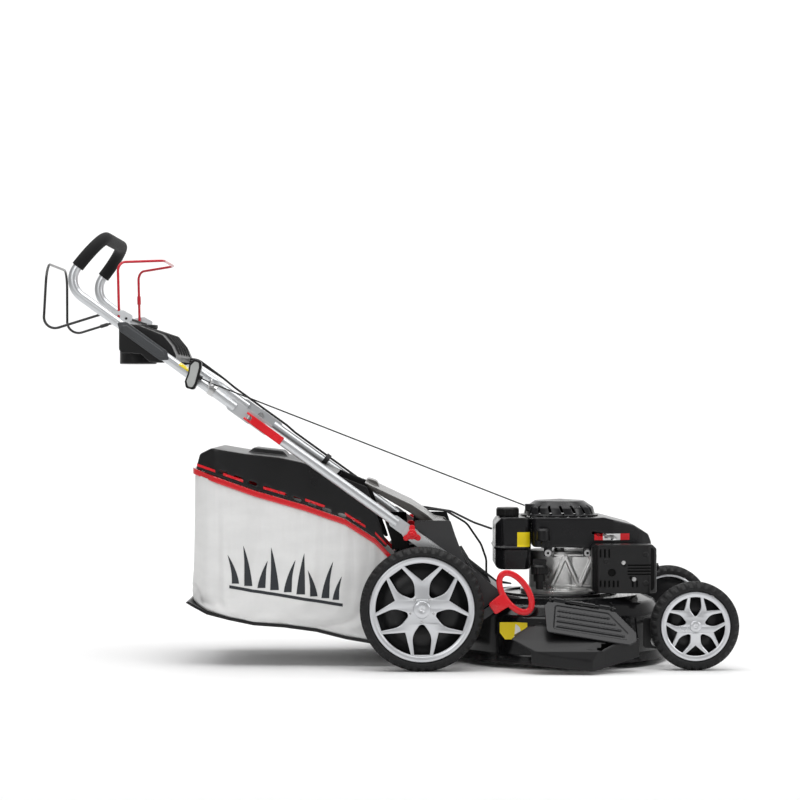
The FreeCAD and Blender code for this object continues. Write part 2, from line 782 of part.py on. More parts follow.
def post_cap():
    """Rubber cap on a bent post beside the shroud."""
    arm = cross_bar(5, 357, 276, POST_Y - 5, -105.3)
    cap = turned([(0, 284.5), (16, 284.5), (15, 308), (11, 313), (0, 313)], 357, POST_Y, 0, radius=1.5)
    return join(arm, upright(5, 357, POST_Y, 268, 286), cap)


node("post_cap", post_cap())


def carburettor():
    """Intake block between the cylinder and the air cleaner."""
    body = block(470, 512, 69, 108, 196, 240)
    bowl = upright(15, 491, 88, 176, 197)
    return join(body, bowl)


def air_filter():
    """Ribbed air cleaner box on the left of the engine."""
    plan = [(440, 107), (440, 150), (456, 166), (556, 166), (572, 150), (572, 107)]
    side_view = [(440, 190), (440, 252), (452, 262), (560, 262), (572, 250), (572, 190)]
    case = overlap(flat_plate(plan, 170, 290, radius=10), side_plate(side_view, 100, 180, radius=6))
    ribs = [block(x, x + 4, 160, 167.5, 200, 252) for x in range(462, 556, 14)]
    return join(case, *ribs)


node("air_filter", join(carburettor(), air_filter()))


def spark_plug():
    """Plug in the head, with its boot and lead."""
    lead_route = [(630, 0, 220), (632, 0, 250), (620, 30, 262), (600, 70, 262), (560, 90, 262)]
    steps = ((9, 596.2, 606), (5, 605, 640), (10, 618, 638))
    body = [rod(radius, (x0, 0, 214), (x1, 0, 214)) for radius, x0, x1 in steps]
    return join(*body, feature(tube("spark lead", lead_route, 3.5, 25)))


node("spark_plug", spark_plug())

# blade with its turned-up wings
blade_plan = [(-228, -24), (-228, 28), (-150, 28), (-60, 26), (60, 26), (150, 24), (228, 24),
              (228, -28), (150, -28), (60, -26), (-60, -26), (-150, -24)]
blade_bar = flat_plate(blade_plan, "blade_z-blade_t/2", "blade_z+blade_t/2", radius=3)
wings = [tilted(70, 22, 3.6, (end * 186, -end * 21, size("blade_z") + 7), (1, 0, 0), end * 38) for end in (-1, 1)]
blade_body = cut(join(blade_bar, *wings), upright(6.2, 0, 0, 0, 100))
node("blade", place(blade_body, "engine_x", 0, 0, Rotation(Vector(0, 0, 1), 20)))

# ---------------------------------------------------------------- handle


def along(start, distance, y):
    spot = start + TUBE_WAY * distance
    return (spot.x, y, spot.z)


def flat_end(start, reach0, reach1, y0, y1, radius):
    """Flattened tube end: a rounded plate along the tube's line, between two y values."""
    width = 14.0
    low = start + TUBE_WAY * reach0
    high = start + TUBE_WAY * reach1
    across = Vector(TUBE_WAY.z, 0, -TUBE_WAY.x) * width
    corners = [low + across, high + across, high - across, low - across]
    return side_plate([(c.x, c.z) for c in corners], y0, y1, radius=radius)


def lower_tube(side):
    """Lower handle tube with both ends pressed flat and drilled."""
    y = side * size("tube_y")
    length = (FOLD - PIVOT).Length
    start = along(PIVOT, 42, y)
    end = along(FOLD, -38, y)
    barrel = rod("tube_r", start, end)
    low, high = sorted((side * 208.0, side * 218.0))
    foot = flat_end(PIVOT, -15, 60, low, high, 11)
    low, high = sorted((side * 208.2, side * 212.7))
    top = flat_end(PIVOT, length - 60, length + 15, low, high, 11)
    holes = [cross_bar(4.05, "pivot_x", "pivot_z", -250, 250), cross_bar(4.05, "fold_x", "fold_z", -250, 250)]
    return cut(join(barrel, foot, top), *holes)


node("lower_tubes", pair(lower_tube))


GRIP_WAY = Vector(0.61, 0, 0.79).normalize()
GRIP_TOP = Vector(-654.5, 0, 985)
HOOK = Vector(-739.3, 0, 875.2)


def upper_handle():
    """One bent tube, its lower ends pressed flat and drilled, with ears and bosses for the two bails."""
    half = size("tube_y")
    start = FOLD + TUBE_WAY * 38
    points = [(start.x, -half, start.z), (HOOK.x, -half, HOOK.z), (GRIP_TOP.x, -half, GRIP_TOP.z),
              (GRIP_TOP.x, half, GRIP_TOP.z), (HOOK.x, half, HOOK.z), (start.x, half, start.z)]
    barrel = feature(tube("upper handle", points, size("tube_r"), [47.0, 88.0, 88.0, 47.0]))
    ends = []
    for side in SIDES.values():
        low, high = sorted((side * 213.3, side * 217.8))
        ends.append(flat_end(FOLD, -15, 58, low, high, 11))
        low, high = sorted((side * 198.0, side * 200.5))
        ear = [(-634, 798), (-630, 812), (-606, 816), (-585, 804), (-588, 790), (-604, 790)]
        ends.append(side_plate(ear, low, high, radius=4))
        low, high = sorted((side * 198.0, side * 205.0))
        ends.append(block(-633, -620, low, high, 799, 808))
        low, high = sorted((side * 184.5, side * 199.0))
        ends.append(cross_bar(6, -600, 797, low, high))
    holes = [cross_bar(4.05, "fold_x", "fold_z", -250, 250), cross_bar("bail_r+0.05", -617, 802, -201.6, 201.6),
             cross_bar("bail_r+0.05", -600, 797, -201.6, 201.6)]
    return cut(join(barrel, *ends), *holes)


node("upper_handle", upper_handle())


def foam_grip():
    """Foam sleeve over the grip's legs, corners and crossbar."""
    half = size("tube_y")
    foot = GRIP_TOP - GRIP_WAY * 89
    points = [(foot.x, -half, foot.z), (GRIP_TOP.x, -half, GRIP_TOP.z),
              (GRIP_TOP.x, half, GRIP_TOP.z), (foot.x, half, foot.z)]
    return feature(tube("foam grip", points, size("foam_r"), [88.0, 88.0], inner=size("tube_r") + 0.05))


node("foam_grip", foam_grip())


def fold_bolt(side):
    """Bolt through the handle's fold, ending in the cross pin of the cam lever."""
    low, high = sorted((side * 206.0, side * 233.0))
    shank = cross_bar(4, "fold_x", "fold_z", low, high)
    low, high = sorted((side * 203.0, side * 207.8))
    head = cross_bar(8, "fold_x", "fold_z", low, high)
    pin_way = Vector(TUBE_WAY.z, 0, -TUBE_WAY.x) * -9.0
    centre = Vector(FOLD.x, side * 231.0, FOLD.z)
    return join(shank, head, rod(2.5, tuple(centre - pin_way), tuple(centre + pin_way)))


node("fold_bolts", pair(fold_bolt))


def cam_lever(side):
    """Quick-release lever: forked cam on the bolt's cross pin, and a curved handle along the tube."""
    down = TUBE_WAY * -1
    out = Vector(0, side, 0)
    frame = Rotation(down, out, down.cross(out), "XYZ")
    arm = padded("XY_Plane", [(0, -6), (0, 7), (40, 6), (92, 9), (95, 4), (92, 0), (40, -3)], 19, 3)
    cam = doc.addObject("Part::Cylinder", "Cam")
    cam.Radius, cam.Height = 8.5, 19
    place(cam, 0, 0, -9.5)
    slot = block(-20, 8, -20, 20, -4.6, 4.6)
    nest = doc.addObject("Part::Cylinder", "Nest")
    nest.Radius, nest.Height = 2.55, 40
    place(nest, 0, 0, -20)
    lever = cut(join(arm, cam), slot, nest)
    return place(lever, FOLD.x, side * 231.0, FOLD.z, frame)


def wing_knob(side):
    """Three-lobed knob with its bolt through the bracket, the tube and the cheek."""
    low, high = sorted((side * 192.0, side * 224.0))
    shank = cross_bar(4, "pivot_x", "pivot_z", low, high)
    low, high = sorted((side * 189.0, side * 194.0))
    head = cross_bar(9, "pivot_x", "pivot_z", low, high)
    low, high = sorted((side * 223.8, side * 238.0))
    hub = cross_bar(11, "pivot_x", "pivot_z", low, high)
    low, high = sorted((side * 237.0, side * 240.0))
    tip = cross_bar(5, "pivot_x", "pivot_z", low, high)
    lobes = []
    for angle in (90, 210, 330):
        way = Vector(math.cos(math.radians(angle)), 0, math.sin(math.radians(angle)))
        near, far = PIVOT + way * 4, PIVOT + way * 15.5
        low, high = sorted((side * 226.0, side * 236.0))
        across = Vector(way.z, 0, -way.x) * 6.5
        bar = side_plate([(p.x, p.z) for p in (near + across, far + across, far - across, near - across)], low, high)
        lobes += [bar, cross_bar(6.5, far.x, far.z, low, high)]
    return join(shank, head, hub, tip, *lobes)


for word, side in SIDES.items():
    node("cam_lever_" + word, cam_lever(side))
    node("wing_knob_" + word, wing_knob(side))

# ---------------------------------------------------------------- console, bails, cables, rope


def side_cover(side):
    """Elongated six-sided cover clamped round the tube beside the console."""
    centre = FOLD + TUBE_WAY * 295
    down = TUBE_WAY * -1
    across = Vector(-down.z, 0, down.x)
    low, high = sorted((side * 200.8, side * 227.0))
    local = [(-73, 0), (-57, 13), (57, 13), (73, 0), (57, -13), (-57, -13)]
    corners = [centre + down * u + across * v for u, v in local]
    shell = side_plate([(c.x, c.z) for c in corners], low, high, radius=4)
    local = [(-60, 0), (-50, 7), (50, 7), (60, 0), (50, -7), (-50, -7)]
    corners = [centre + down * u + across * v for u, v in local]
    low, high = sorted((side * 226.0, side * 229.0))
    badge = side_plate([(c.x, c.z) for c in corners], low, high, radius=3)
    start, end = centre - down * 90, centre + down * 90
    bore = rod("tube_r+0.05", (start.x, side * 213, start.z), (end.x, side * 213, end.z))
    return cut(join(shell, badge), bore)


node("side_covers", pair(side_cover))

CUP_Y = -70


def console():
    """Hollow moulded console between the tubes, with a cup holder and a ribbed hump."""
    outside = [(-617, 726), (-617, 780), (-606, 787), (-572, 782), (-517, 760), (-496, 735), (-486, 712),
               (-489, 699), (-521, 695), (-548, 698), (-566, 716), (-610, 718)]
    inside = [(-614, 700), (-614, 779), (-605, 784), (-573, 779), (-519, 757), (-499, 733), (-489, 712),
              (-492, 690), (-521, 680), (-560, 680)]
    shell = cut(side_plate(outside, -200, 200, radius=6), side_plate(inside, -197, 197, radius=4))
    cup = upright("cup_r+3", "cup_x", CUP_Y, "cup_floor-3", 787)
    rib = [(-560, 775), (-517, 757), (-496, 733), (-490, 716), (-484, 716), (-491, 738), (-513, 765), (-560, 781)]
    ribs = [side_plate(rib, y - 3, y + 3, radius=2) for y in (-120, -60, 0, 60, 120)]
    lip = upright("cup_r+6", "cup_x", CUP_Y, 779, 787)
    exit_hole = rod(9, (-520, 150, 708), (-470, 150, 708))
    return cut(join(shell, cup, lip, *ribs), upright("cup_r", "cup_x", CUP_Y, "cup_floor", 800), exit_hole)


node("console", console())


def bail(label, points, bends):
    """A bent rod whose two inturned ends pivot in the handle tube."""
    left = [(x, -y, z) for x, y, z in reversed(points)]
    return feature(tube(label, points + left, size("bail_r"), bends + bends[::-1]))


brake_points = [(-617, -201.5, 802), (-617, -194, 802), (-620, -194, 926), (-524, -108, 935)]
drive_points = [(-600, -190, 797), (-600, -180, 797), (-645, -180, 812), (-793, -180, 766), (-789, -150, 926)]


def clip(start, end):
    """Cable anchor clamped on a bail's leg."""
    return rod(4.5, start, end)


brake_rod = bail("brake bail", brake_points, [3.8, 22.0, 45.0])
node("brake_bail", join(brake_rod, clip((-618.1, 194, 846), (-618.5, 194, 866))))
drive_rod = bail("drive bail", drive_points, [3.8, 26.0, 27.0, 55.0])
node("drive_bail", join(drive_rod, clip((-711, 180, 791.5), (-693, 180, 797.1))))


def beside(distance, lift, y):
    """A point at a distance along the tube line from the lower pivot, lifted square to it."""
    spot = PIVOT + TUBE_WAY * distance + Vector(-TUBE_WAY.z, 0, TUBE_WAY.x) * -lift
    return (spot.x, y, spot.z)


FOLD_AT = (FOLD - PIVOT).Length
CABLE_Y = {"brake": 216.2, "drive": 209.8}


def cables(label, routes):
    """The brake and drive cables' stretches over one part of the handle."""
    made = []
    for word, points in routes.items():
        made.append(feature(tube(word + " cable, " + label, points, size("cable_r"), 40)))
    return join(*made)


ALONG_LIFT = 14.6
FOLD_LIFT = 17.2
upper_routes = {}
fold_routes = {}
lower_routes = {}
for k, (word, y) in enumerate(CABLE_Y.items()):
    upper_routes[word] = [
        (-500, 150, 705 + 6 * k), (-470, 152, 705 + 6 * k), beside(FOLD_AT + 130, 20, 200 + 5 * k),
        beside(FOLD_AT + 92, FOLD_LIFT, y), beside(FOLD_AT + 46, FOLD_LIFT, y),
    ]
    fold_routes[word] = [beside(FOLD_AT + 45.5, FOLD_LIFT, y), beside(FOLD_AT - 45.5, FOLD_LIFT, y)]
    lower_routes[word] = [
        beside(FOLD_AT - 46, FOLD_LIFT, y), beside(FOLD_AT - 66, FOLD_LIFT, y),
        beside(FOLD_AT - 92, ALONG_LIFT, y), beside(110, ALONG_LIFT, y),
    ]
node("cables_upper", cables("console to fold", upper_routes))
node("cables_fold", cables("over the fold", fold_routes))


def cable_clamp():
    """Plastic strap that holds both cables on the left tube."""
    strap = rod(20.5, beside(256, 0, 213), beside(268, 0, 213))
    ways = [rod("tube_r+0.05", beside(250, 0, 213), beside(275, 0, 213))]
    ways += [rod("cable_r+0.05", beside(250, ALONG_LIFT, y), beside(275, ALONG_LIFT, y)) for y in CABLE_Y.values()]
    return cut(strap, *ways)


node("cables_lower", join(cables("along the lower tube", lower_routes), cable_clamp()))
pivot_routes = {
    "brake": [beside(109.4, ALONG_LIFT, CABLE_Y["brake"]), (30, 214, 358), (84, 206, 347)],
    "drive": [beside(109.4, ALONG_LIFT, CABLE_Y["drive"]), (30, 205, 352), (78, 194, 343)],
}
node("cables_pivot", cables("over the lower pivot", pivot_routes))
chassis_routes = {
    "brake": [(85.2, 206, 347), (150, 182, 338), (205, 150, 312), (246, 96, 300)],
    "drive": [(79.2, 194, 343), (136, 178, 340), (188, 158, 310), (223, 152, 259), (236, 152, 222),
              (236, 152, 160.2)],
}
node("cables_chassis", cables("on the chassis", chassis_routes))

ROPE_OUT = Vector(322, -30, 361)
GUIDE = Vector(-405, -236, 650)
GRIP = Vector(-443, -236, 669)


def rope_guide():
    """Wire eye on a clamp round the right tube."""
    eye = doc.addObject("Part::Torus", "Eye")
    eye.Radius1, eye.Radius2 = 9, 2.2
    eye.Placement = Placement(GUIDE, Rotation(Vector(0, 0, 1), ROPE_OUT - GUIDE))
    bore = rod("tube_r+0.05", beside(550, 0, -213), beside(570, 0, -213))
    band = cut(rod(14, beside(553, 0, -213), beside(567, 0, -213)), bore)
    stalk = rod(2.2, beside(560, 12.5, -216), (GUIDE.x, GUIDE.y, GUIDE.z - 9))
    return join(eye, band, stalk)


node("rope_guide", rope_guide())


def starter_grip():
    """Moulded pull handle with a waist and a rope socket."""
    lean = Rotation(Vector(0, 1, 0), -75)
    waisted = [(-34, -11), (-34, 8), (-20, 14.5), (0, 12), (20, 14.5), (34, 8), (34, -11), (20, -14.5), (-20, -14.5)]
    bar = padded("XZ_Plane", waisted, 22, 7)
    place(bar, GRIP.x, GRIP.y, GRIP.z, lean)
    way = (GUIDE - GRIP).normalize()
    socket = rod(5.5, tuple(GRIP + way * 8), tuple(GRIP + way * 22))
    return cut(join(bar, socket), rod(2.0, tuple(GRIP + way * 14), tuple(GRIP + way * 40)))


node("starter_grip", starter_grip())
rope_start = ROPE_OUT + (GUIDE - ROPE_OUT).normalize() * 3.6
rope_end = GRIP + (GUIDE - GRIP).normalize() * 15
rope_line = [tuple(rope_start), tuple(GUIDE), tuple(rope_end)]
node("starter_rope", feature(tube("starter rope", rope_line, size("rope_r"), 12)))

# ---------------------------------------------------------------- grass bag and rear door

BAND_LINE = [(-444, 452), (-305, 403), (-193, 371), (-101, 339), (-32, 295), (5, 256)]
LID_TOP = [(-50, 413), (-127, 443), (-201, 469), (-252, 480), (-330, 488), (-407, 501), (-436, 487), (-445, 455)]
BASE_LINE = [(-45, 57), (-98, 66), (-166, 83), (-240, 93), (-310, 98), (-368, 110), (-418, 123), (-451, 141)]


def bag_plan(inset):
    """Plan outline of the bag with rounded back corners."""
    half = size("bag_half") - inset
    back = -452 + inset
    return [(60, -half), (60, half), (-400, half), (back, half - 40), (back, -half + 40), (-400, -half)]


def within_plan(side_outline, inset, radius=0):
    return overlap(side_plate(side_outline, -220, 220, radius=radius), flat_plate(bag_plan(inset), 0, 600, radius=30))


def shifted(points, dx, dz):
    return [(x + dx, z + dz) for x, z in points]


def bag_lid():
    """Moulded lid, open below and at its front, with side slots and a carrying bar."""
    outer = within_plan(LID_TOP + BAND_LINE, 0, radius=8)
    hollow = shifted(LID_TOP[1:-1], 1, -4) + [(-441, 456), (-441, 400), (40, 200), (40, 420)]
    inner = within_plan(hollow, 3)
    slots = []
    for x in range(-380, -40, 34):
        z = 16 + BAND_LINE[0][1] + (x - BAND_LINE[0][0]) * -0.36
        slots.append(tilted(20, 400, 5, (x, 0, z), (0, 1, 0), 19))
    arch = [(-330, 484), (-330, 490), (-318, 500), (-250, 492), (-240, 482), (-240, 477)]
    bar = side_plate(arch, -60, 60, radius=4)
    grasp = side_plate([(-318, 487), (-314, 494), (-254, 487), (-252, 480)], -46, 46, radius=2)
    return join(cut(outer, inner, *slots), cut(bar, grasp))


node("bag_lid", bag_lid())


def bag_band():
    """Glossy band that clips the fabric to the lid, following the lid's lower edge."""
    line = [(-458, 457)] + BAND_LINE
    outline = shifted(line, 0, -0.2) + shifted(line[::-1], 0, -0.2 - size("band_t"))
    middle = [(-464, 482), (90, 300), (90, 150), (-460, 400)]
    return cut(within_plan(outline, -2), within_plan(middle, 3))


node("bag_band", bag_band())


def bag_fabric():
    """Fabric walls hung from the band, open at the top and at the mouth."""
    top = shifted(BAND_LINE, 0, -0.4 - size("band_t"))
    outline = top + [(16, 210), (18, 54)] + shifted(BASE_LINE, 0, 4)
    inner = [(-438, 600), (12, 600), (12, 212), (14, 60)] + shifted(BASE_LINE, 3, 7.5)
    mouth = block(0, 40, -150, 150, 118, 300)
    return cut(within_plan(outline, 0), within_plan(inner, 3), mouth)


node("bag_fabric", bag_fabric())


def bag_base():
    """Moulded base tray under the fabric."""
    lower = [(18, 46)] + shifted(BASE_LINE, 0, -3) + [(-466, 147)]
    upper = [(-460, 150), (-451, 144.6)] + shifted(BASE_LINE[::-1], 0, 3.6) + [(18, 53.6)]
    return side_plate(lower + upper, "-bag_half", "bag_half")


node("bag_base", bag_base())


def rear_door():
    """Sprung cover from the hinge pin back over the bag's front edge, ribbed underneath."""
    arch = [(-56, 421.5), (53, 370), (86, 348), (108, 330), (130, 326), (130, 322), (106, 326), (84, 344), (51, 366),
            (-56, 417.5)]
    skin = side_plate(arch, "-door_width/2", "door_width/2")
    cheek = [(-50, 417.5), (53, 367), (85, 345), (107, 327), (96, 322), (76, 330), (46, 352), (-50, 408)]
    cheeks = [side_plate(cheek, y - 1.5, y + 1.5) for y in (-162, 162)]
    knuckles = [cross_bar(8, "door_hinge_x", "door_hinge_z", y - 18, y + 18) for y in (-140, 0, 140)]
    pull = side_plate([(-56, 421), (-50, 427), (-30, 420), (-20, 404)], -45, 45, radius=3)
    return cut(join(skin, *cheeks, *knuckles, pull), cross_bar(4.05, "door_hinge_x", "door_hinge_z", -200, 200))


node("rear_door", rear_door())

# ---------------------------------------------------------------- side flap and deflector

HINGE_START = Vector(369, -238, 159)
HINGE_WAY = Vector(136, 0, -21).normalize()
FLAP_DOWN = Vector(0, -70, -72).normalize()
FLAP_DOWN = (FLAP_DOWN - HINGE_WAY * FLAP_DOWN.dot(HINGE_WAY)).normalize()
FLAP_TURN = Rotation(HINGE_WAY, FLAP_DOWN, HINGE_WAY.cross(FLAP_DOWN), "XYZ")


def on_hinge(distance):
    """A point on the flap's hinge line."""
    return tuple(HINGE_START + HINGE_WAY * distance)


def on_flap(piece, lift=0.0):
    """Place a plate drawn in the flap's own plane; lift is outwards."""
    spot = HINGE_START - HINGE_WAY.cross(FLAP_DOWN) * lift
    return place(piece, spot.x, spot.y, spot.z, FLAP_TURN)


FLAP_LINE = [(-4, 0), (138, 0), (196, 60), (198, 84), (182, 98), (-6, 96), (-16, 22)]


def side_flap():
    """Hinged outlet flap with a sunk field, ribs across it and two knuckles."""
    skin = on_flap(padded("XY_Plane", FLAP_LINE, "flap_t", 8))
    field = on_flap(padded("XY_Plane", [(8, 16), (130, 16), (178, 66), (176, 84), (8, 84)], 3, 6), 2)
    ribs = []
    for v, reach in ((28, 132), (43, 146), (58, 160), (73, 168)):
        ribs.append(on_flap(padded("XY_Plane", [(14, v), (14, v + 4), (reach, v + 4), (reach, v)], 2, 1), 1.2))
    relief = [rod(9.0, on_hinge(a), on_hinge(b)) for a, b in ((-20, 3.6), (30.4, 107.6), (134.4, 150))]
    knuckles = [rod(6.5, on_hinge(start), on_hinge(start + 26)) for start in (4, 108)]
    body = cut(join(cut(skin, field), *ribs), *relief)
    return cut(join(body, *knuckles), rod(3.05, on_hinge(-30), on_hinge(170)))


node("side_flap", side_flap())


def flap_hinge():
    """Pin for the side flap, with its lugs and the coil spring round its middle."""
    pin = rod(3, on_hinge(-6), on_hinge(146))
    coil = rod(5.5, on_hinge(40), on_hinge(98))
    lugs = []
    for start in (-4, 68, 139):
        x, y, z = on_hinge(start)
        lug = [(-244, z - 4), (-244, z + 5), (-230, z + 6), (-196, 150), (-196, 130), (-232, 132)]
        lugs.append(front_plate(lug, x - 2, x + 2, radius=3))
    return join(pin, coil, *lugs)


def hood(inset, reach):
    """Wedge common to a plan, a side view and a front view; reach opens it inwards, down and back."""
    back, front = 262 - reach, 563 - inset
    plan = [(back, -259 + reach), (back, -290 + inset), (326, -330 + inset), (359, -335 + inset), (452, -341 + inset),
            (481 - inset, -320 + inset), (front, -274 + inset), (front, -259 + reach)]
    side_view = [(back, 26 - reach), (back, 68 - inset), (286, 84 - inset), (316, 101 - inset), (410, 101 - inset),
                 (481, 88 - inset), (front, 74 - inset), (front, 34 - reach), (500, 18 - reach), (456, 8 - reach)]
    front_view = [(-259 + reach, 8 - reach), (-259 + reach, 101 - inset), (-262, 101 - inset), (-300, 75 - inset),
                  (-330 + inset, 52 - inset), (-342 + inset, 30 - inset), (-342 + inset, 8 - reach)]
    solid = overlap(flat_plate(plan, -60, 140), side_plate(side_view, -360, -150))
    return overlap(solid, front_plate(front_view, 180, 600))


def deflector():
    """Clip-on side discharge chute, open towards the deck, the ground and the back."""
    fence = block(330, 500, -262, -258.6, 90, 104)
    over_flap = [(-30, -20), (220, -20), (220, 125), (-30, 125)]
    flap_room = on_flap(padded("XY_Plane", over_flap, 60, 0), 27.2)
    field = side_plate([(396, 58), (444, 53), (444, 30), (396, 36)], -360, -339.4, radius=3)
    return cut(join(cut(hood(0, 0), hood(3, 40)), fence), flap_room, field)


node("deflector", deflector())
node("deck_shell", join(deck_shell(), deck_bead(), flap_hinge()))

# ---------------------------------------------------------------- checks and export

doc.recompute()
problems = []
for item in doc.Objects:
    if any(flag in ("Invalid", "Error") for flag in item.State):
        problems.append("%s: %s" % (item.Label, item.State))
for item in NODES:
    shape = item.Shape
    if shape.isNull() or not shape.isValid() or shape.Volume <= 0:
        problems.append("%s: bad shape" % item.Label)
        continue
    box = shape.BoundBox
    print("%-18s solids %2d  x %7.1f %7.1f  y %7.1f %7.1f  z %7.1f %7.1f" % (
        item.Label, len(shape.Solids), box.XMin, box.XMax, box.YMin, box.YMax, box.ZMin, box.ZMax))
    shape.exportStep("parts/%s.step" % item.Label)
print("nodes:", len(NODES))
if problems:
    raise RuntimeError("; ".join(problems))
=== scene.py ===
import math

import bmesh
import bpy
import numpy as np
from mathutils import Matrix, Vector
from mathutils.bvhtree import BVHTree


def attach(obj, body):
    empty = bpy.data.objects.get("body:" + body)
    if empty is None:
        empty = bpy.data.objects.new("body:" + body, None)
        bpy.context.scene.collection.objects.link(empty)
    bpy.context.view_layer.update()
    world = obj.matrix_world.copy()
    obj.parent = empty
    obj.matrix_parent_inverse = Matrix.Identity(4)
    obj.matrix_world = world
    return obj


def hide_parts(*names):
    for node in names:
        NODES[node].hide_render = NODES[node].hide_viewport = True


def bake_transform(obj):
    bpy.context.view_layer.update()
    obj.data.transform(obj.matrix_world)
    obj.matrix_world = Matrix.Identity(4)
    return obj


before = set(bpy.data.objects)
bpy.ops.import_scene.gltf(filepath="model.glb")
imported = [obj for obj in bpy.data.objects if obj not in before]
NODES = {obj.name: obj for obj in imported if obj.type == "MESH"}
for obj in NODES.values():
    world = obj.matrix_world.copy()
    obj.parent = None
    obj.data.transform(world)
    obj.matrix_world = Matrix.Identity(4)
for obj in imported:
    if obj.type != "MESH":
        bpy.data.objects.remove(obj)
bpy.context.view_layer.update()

# Walk-behind petrol mower.  +X forward, -Y towards the camera, +Z up, metres.
# The CAD frame is symmetric about y = MID, except for the side chute and the engine.

MM = 0.001
MID = 27.4


def at(x, y, z):
    """A point given in millimetres about the machine's mid-plane."""
    return Vector((x, y + MID, z)) * MM


# ---------------------------------------------------------------- camera and lights

camera_data = bpy.data.cameras.new("camera")
camera = bpy.data.objects.new("camera", camera_data)
bpy.context.scene.collection.objects.link(camera)
camera.location = at(25, -5120, 611)
camera.rotation_euler = (math.radians(90), 0, 0)
camera_data.sensor_width = 36
camera_data.lens = 97.0
bpy.context.scene.camera = camera
bpy.context.scene.view_settings.view_transform = "Standard"


def area_light(name, spot, target, width, height, power):
    """Rectangular light at a spot, turned to a target; metres and watts."""
    data = bpy.data.lights.new(name, "AREA")
    data.shape = "RECTANGLE"
    data.size = width
    data.size_y = height
    data.energy = power
    lamp = bpy.data.objects.new(name, data)
    lamp.location = spot
    lamp.rotation_euler = (Vector(target) - Vector(spot)).to_track_quat("-Z", "Y").to_euler()
    bpy.context.scene.collection.objects.link(lamp)


area_light("top_light", (-0.1, -0.5, 3.2), (0, 0, 0.2), 4.4, 2.4, 92)
area_light("front_light", (-1.8, -3.4, 1.9), (-0.1, 0, 0.4), 2.2, 1.4, 26)
area_light("right_light", (2.8, -1.6, 1.5), (0.3, 0, 0.3), 0.9, 1.8, 22)
area_light("wall_light", (0, 1.9, 4.6), (0, 5.4, 1.6), 9.0, 1.6, 210)

world = bpy.data.worlds.new("world")
bpy.context.scene.world = world
world.use_nodes = True
world.node_tree.nodes["Background"].inputs["Color"].default_value = (1.0, 1.0, 1.0, 1)
world.node_tree.nodes["Background"].inputs["Strength"].default_value = 0.34

# ---------------------------------------------------------------- materials


def material(name, colour, rough, metal=0.0, vary=0.12, grain=400.0, bump=0.1, depth=0.0002, coat=0.0,
             stretch=(1, 1, 1), sheen=0.0, rough_vary=0.08, wear=0.0, shine=0.5):
    """Procedural surface: two-tone noise colour, uneven roughness, fine bump and optional worn edges."""
    made = bpy.data.materials.new(name)
    made.use_nodes = True
    tree = made.node_tree
    shader = tree.nodes["Principled BSDF"]
    shader.inputs["Metallic"].default_value = metal
    shader.inputs["Specular IOR Level"].default_value = shine
    shader.inputs["Coat Weight"].default_value = coat
    shader.inputs["Coat Roughness"].default_value = 0.08
    shader.inputs["Sheen Weight"].default_value = sheen

    def add(kind, **values):
        item = tree.nodes.new(kind)
        for key, value in values.items():
            item.inputs[key].default_value = value
        return item

    coords = tree.nodes.new("ShaderNodeTexCoord")
    mapping = add("ShaderNodeMapping", Scale=stretch)
    tree.links.new(coords.outputs["Object"], mapping.inputs["Vector"])
    broad = add("ShaderNodeTexNoise", Scale=14.0, Detail=4.0)
    fine = add("ShaderNodeTexNoise", Scale=grain, Detail=3.0)
    for pattern in (broad, fine):
        tree.links.new(mapping.outputs["Vector"], pattern.inputs["Vector"])
    ramp = tree.nodes.new("ShaderNodeValToRGB")
    ramp.color_ramp.elements[0].position = 0.3
    ramp.color_ramp.elements[1].position = 0.7
    ramp.color_ramp.elements[0].color = [c * (1 - vary) for c in colour] + [1]
    ramp.color_ramp.elements[1].color = [min(1.0, c * (1 + vary)) for c in colour] + [1]
    tree.links.new(broad.outputs["Fac"], ramp.inputs["Fac"])
    tint = ramp.outputs["Color"]
    if wear > 0:
        shape = tree.nodes.new("ShaderNodeNewGeometry")
        edge = add("ShaderNodeMapRange", **{"From Min": 0.53, "From Max": 0.6, "To Min": 0.0, "To Max": wear})
        tree.links.new(shape.outputs["Pointiness"], edge.inputs["Value"])
        worn = tree.nodes.new("ShaderNodeMix")
        worn.data_type = "RGBA"
        worn.inputs["B"].default_value = (0.35, 0.35, 0.36, 1)
        tree.links.new(edge.outputs["Result"], worn.inputs["Factor"])
        tree.links.new(tint, worn.inputs["A"])
        tint = worn.outputs["Result"]
    tree.links.new(tint, shader.inputs["Base Color"])
    gloss_range = {"To Min": max(0.02, rough - rough_vary), "To Max": min(1.0, rough + rough_vary)}
    gloss = add("ShaderNodeMapRange", **gloss_range)
    tree.links.new(broad.outputs["Fac"], gloss.inputs["Value"])
    tree.links.new(gloss.outputs["Result"], shader.inputs["Roughness"])
    relief = add("ShaderNodeBump", Strength=bump, Distance=depth)
    tree.links.new(fine.outputs["Fac"], relief.inputs["Height"])
    tree.links.new(relief.outputs["Normal"], shader.inputs["Normal"])
    return made


